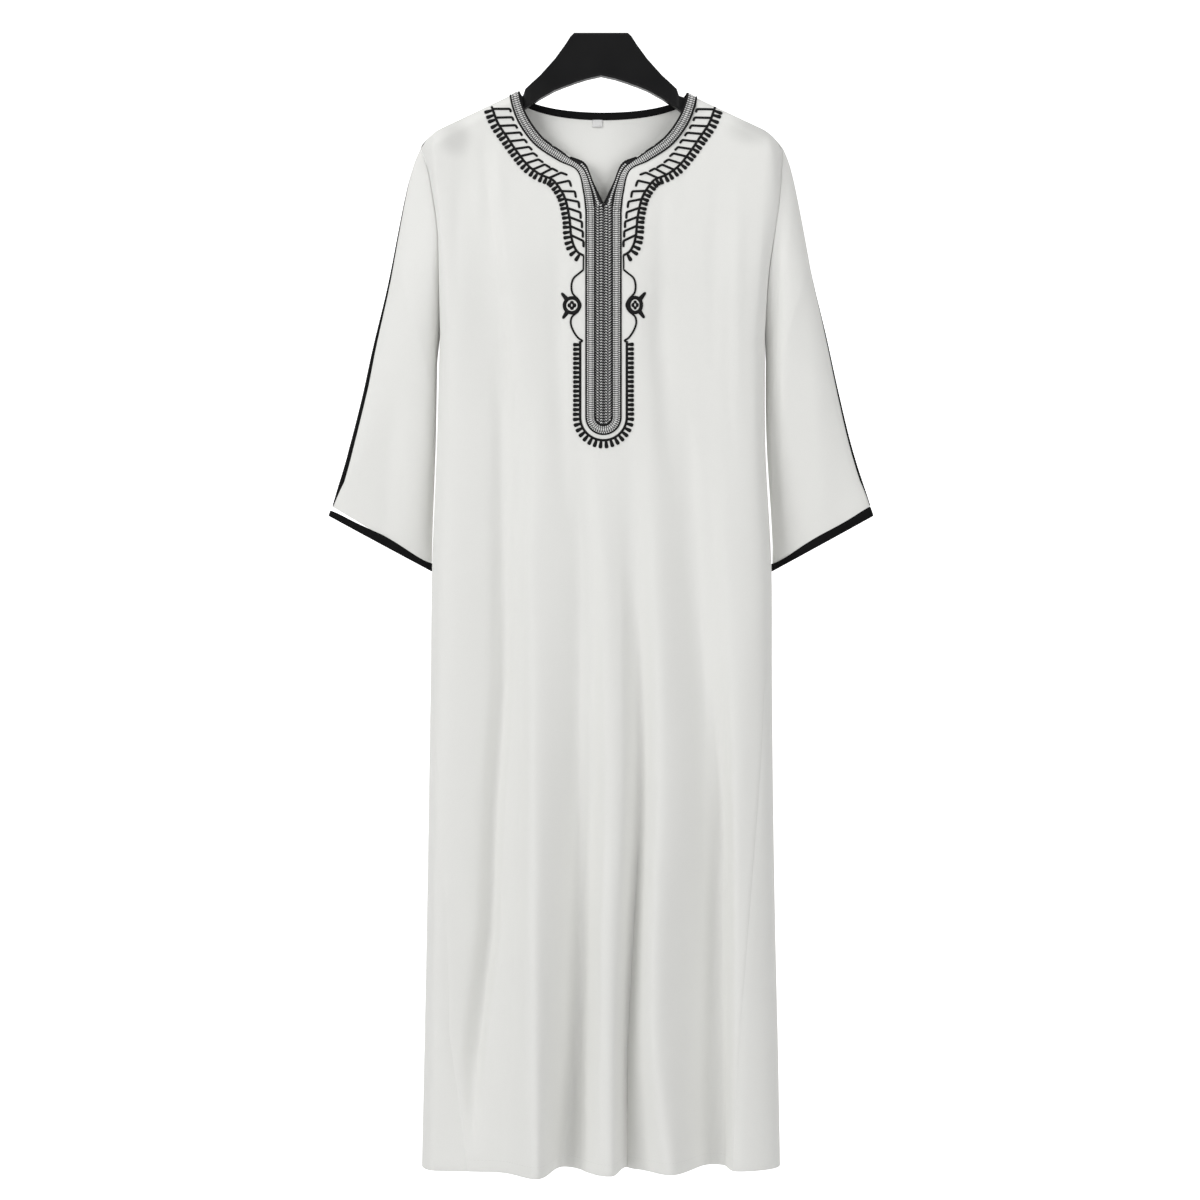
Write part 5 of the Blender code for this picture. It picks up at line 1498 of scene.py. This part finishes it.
LOOP_LINE = ((0.0249, -0.3004), (0.0300, -0.3045), (0.0372, -0.3110), (0.0396, -0.3201),
             (0.0382, -0.3290), (0.0312, -0.3370), (0.0282, -0.3440), (0.0312, -0.3512),
             (0.0390, -0.3585), (0.0404, -0.3660), (0.0370, -0.3760), (0.0310, -0.3845),
             (0.0262, -0.3880), (0.0300, -0.3898))
LOOP_CORD = 0.0024
ROSETTE = (0.0390, -0.3440)
ROSETTE_RING = 0.0092
ROSETTE_RING_WIDE = 0.0045
ROSETTE_EYE = 0.0029
ROSETTE_NARROW = {-1.0: 1.0, 1.0: 0.84}
ROSETTE_LOBE = (0.0030, 0.0027)
ROSETTE_DOT = (0.0019, 0.0010, 0.0006)
SPIKES = ((0.0520, -0.3282), (0.0505, -0.3602))
# Down a spike, from the ring to its tip: shares of its length, and half its width
SPIKE_SHAPE = ((0.0, 0.25, 0.5, 0.75, 0.92, 1.0),
               (0.0030, 0.00270, 0.00234, 0.00198, 0.00150, 0.00045))
UPRIGHT = (0.0, 1.0)


def rosette(sign):
    centre = on_side(ROSETTE, sign)
    angles = np.linspace(0.0, 2.0 * math.pi, 49)
    circle = np.column_stack((np.cos(angles) * ROSETTE_NARROW[sign], np.sin(angles)))
    loop = smooth_through(LOOP_LINE, np.linspace(0.0, len(LOOP_LINE) - 1, 110))
    parts = [cord_part(on_side(loop, sign), LOOP_CORD / 2, HOOK_HIGH),
             cord_part(centre + circle * ROSETTE_RING, ROSETTE_RING_WIDE / 2, TOOTH_HIGH),
             seed_parts(centre + circle[[0, 12, 24, 36]] * ROSETTE_EYE, np.array([UPRIGHT] * 4),
                        ROSETTE_LOBE[0], ROSETTE_LOBE[1] * ROSETTE_NARROW[sign], TOOTH_HIGH)]
    for tip in SPIKES:
        tip = on_side(tip, sign)
        root = centre + unit(tip - centre) * ROSETTE_RING
        share, half = np.array(SPIKE_SHAPE)
        parts.append(cord_part(root + (tip - root) * share[:, None], half, TOOTH_HIGH))
    return parts


rosettes = sewn_piece("rosettes_and_loops", rosette(-1.0) + rosette(1.0), BLACK_THREAD)
rosette_dots = sewn_piece(
    "rosette_dots",
    [seed_parts(on_side([ROSETTE], sign), np.array([UPRIGHT]), *ROSETTE_DOT, TOOTH_HIGH)
     for sign in (-1.0, 1.0)],
    SEED_THREAD)


# The hem: fine crepe-coloured stitches that hold the turned-up edge of the front and the back.
# With them each cloth piece is finished.

STITCH_LONG = 0.0030
STITCH_HALF_WIDE = 0.00022
STITCH_BASE = 0.00005
STITCH_HIGH = 0.00028
STITCH_PITCH = 0.0046
HEM_STITCH_ROW = 7
HEM_THREAD = (0.74, 0.74, 0.715)


def stitch_row(points, out):
    """Short raised stitches along a line on the cloth, as small flattened beads."""
    run = run_along(points)
    count = int(run[-1] / STITCH_PITCH)
    at = (np.arange(count) + 0.5) * run[-1] / count
    places = read_along(at, run, points)
    ahead = unit(read_along(at + 0.001, run, points) - places)
    out = read_along(at, run, out)
    aside = np.cross(ahead, out)
    corners = ((-0.5, 0.0, 0.0), (-0.25, 1.0, 0.0), (0.25, 1.0, 0.0), (0.5, 0.0, 0.0),
               (0.25, -1.0, 0.0), (-0.25, -1.0, 0.0), (-0.2, 0.0, 1.0), (0.2, 0.0, 1.0))
    points = np.concatenate([places + ahead * STITCH_LONG * a + aside * STITCH_HALF_WIDE * b
                             + out * (STITCH_BASE + STITCH_HIGH * c) for a, b, c in corners])
    faces = []
    for ring in ((0, 1, 6), (1, 2, 7, 6), (2, 3, 7), (3, 4, 7), (4, 5, 6, 7), (5, 0, 6)):
        faces += [[corner * count + k for corner in ring] for k in range(count)]
    return points, faces


def hem_material():
    material, tree, shader = principled("hem_thread", HEM_THREAD, 0.7)
    tone = place_group(tree, UNEVEN_TONE, Colour=(*HEM_THREAD, 1.0), Patch_size=0.01,
                       Darkening=0.1, Rough_low=0.6, Rough_high=0.8)
    join_surface(tree, shader, looks_of(tone))
    return material


def hem_stitches(name, rows, material):
    row = len(rows) - HEM_STITCH_ROW
    piece = plain_mesh(name, *stitch_row(rows[row], outward_of(rows)[row]), material)
    return on_robe(piece)


CREPE_THREAD_MATERIAL = hem_material()
front_hem = hem_stitches("front_hem_stitches", front_rows, CREPE_THREAD_MATERIAL)
back_hem = hem_stitches("back_hem_stitches", back_rows, CREPE_THREAD_MATERIAL)
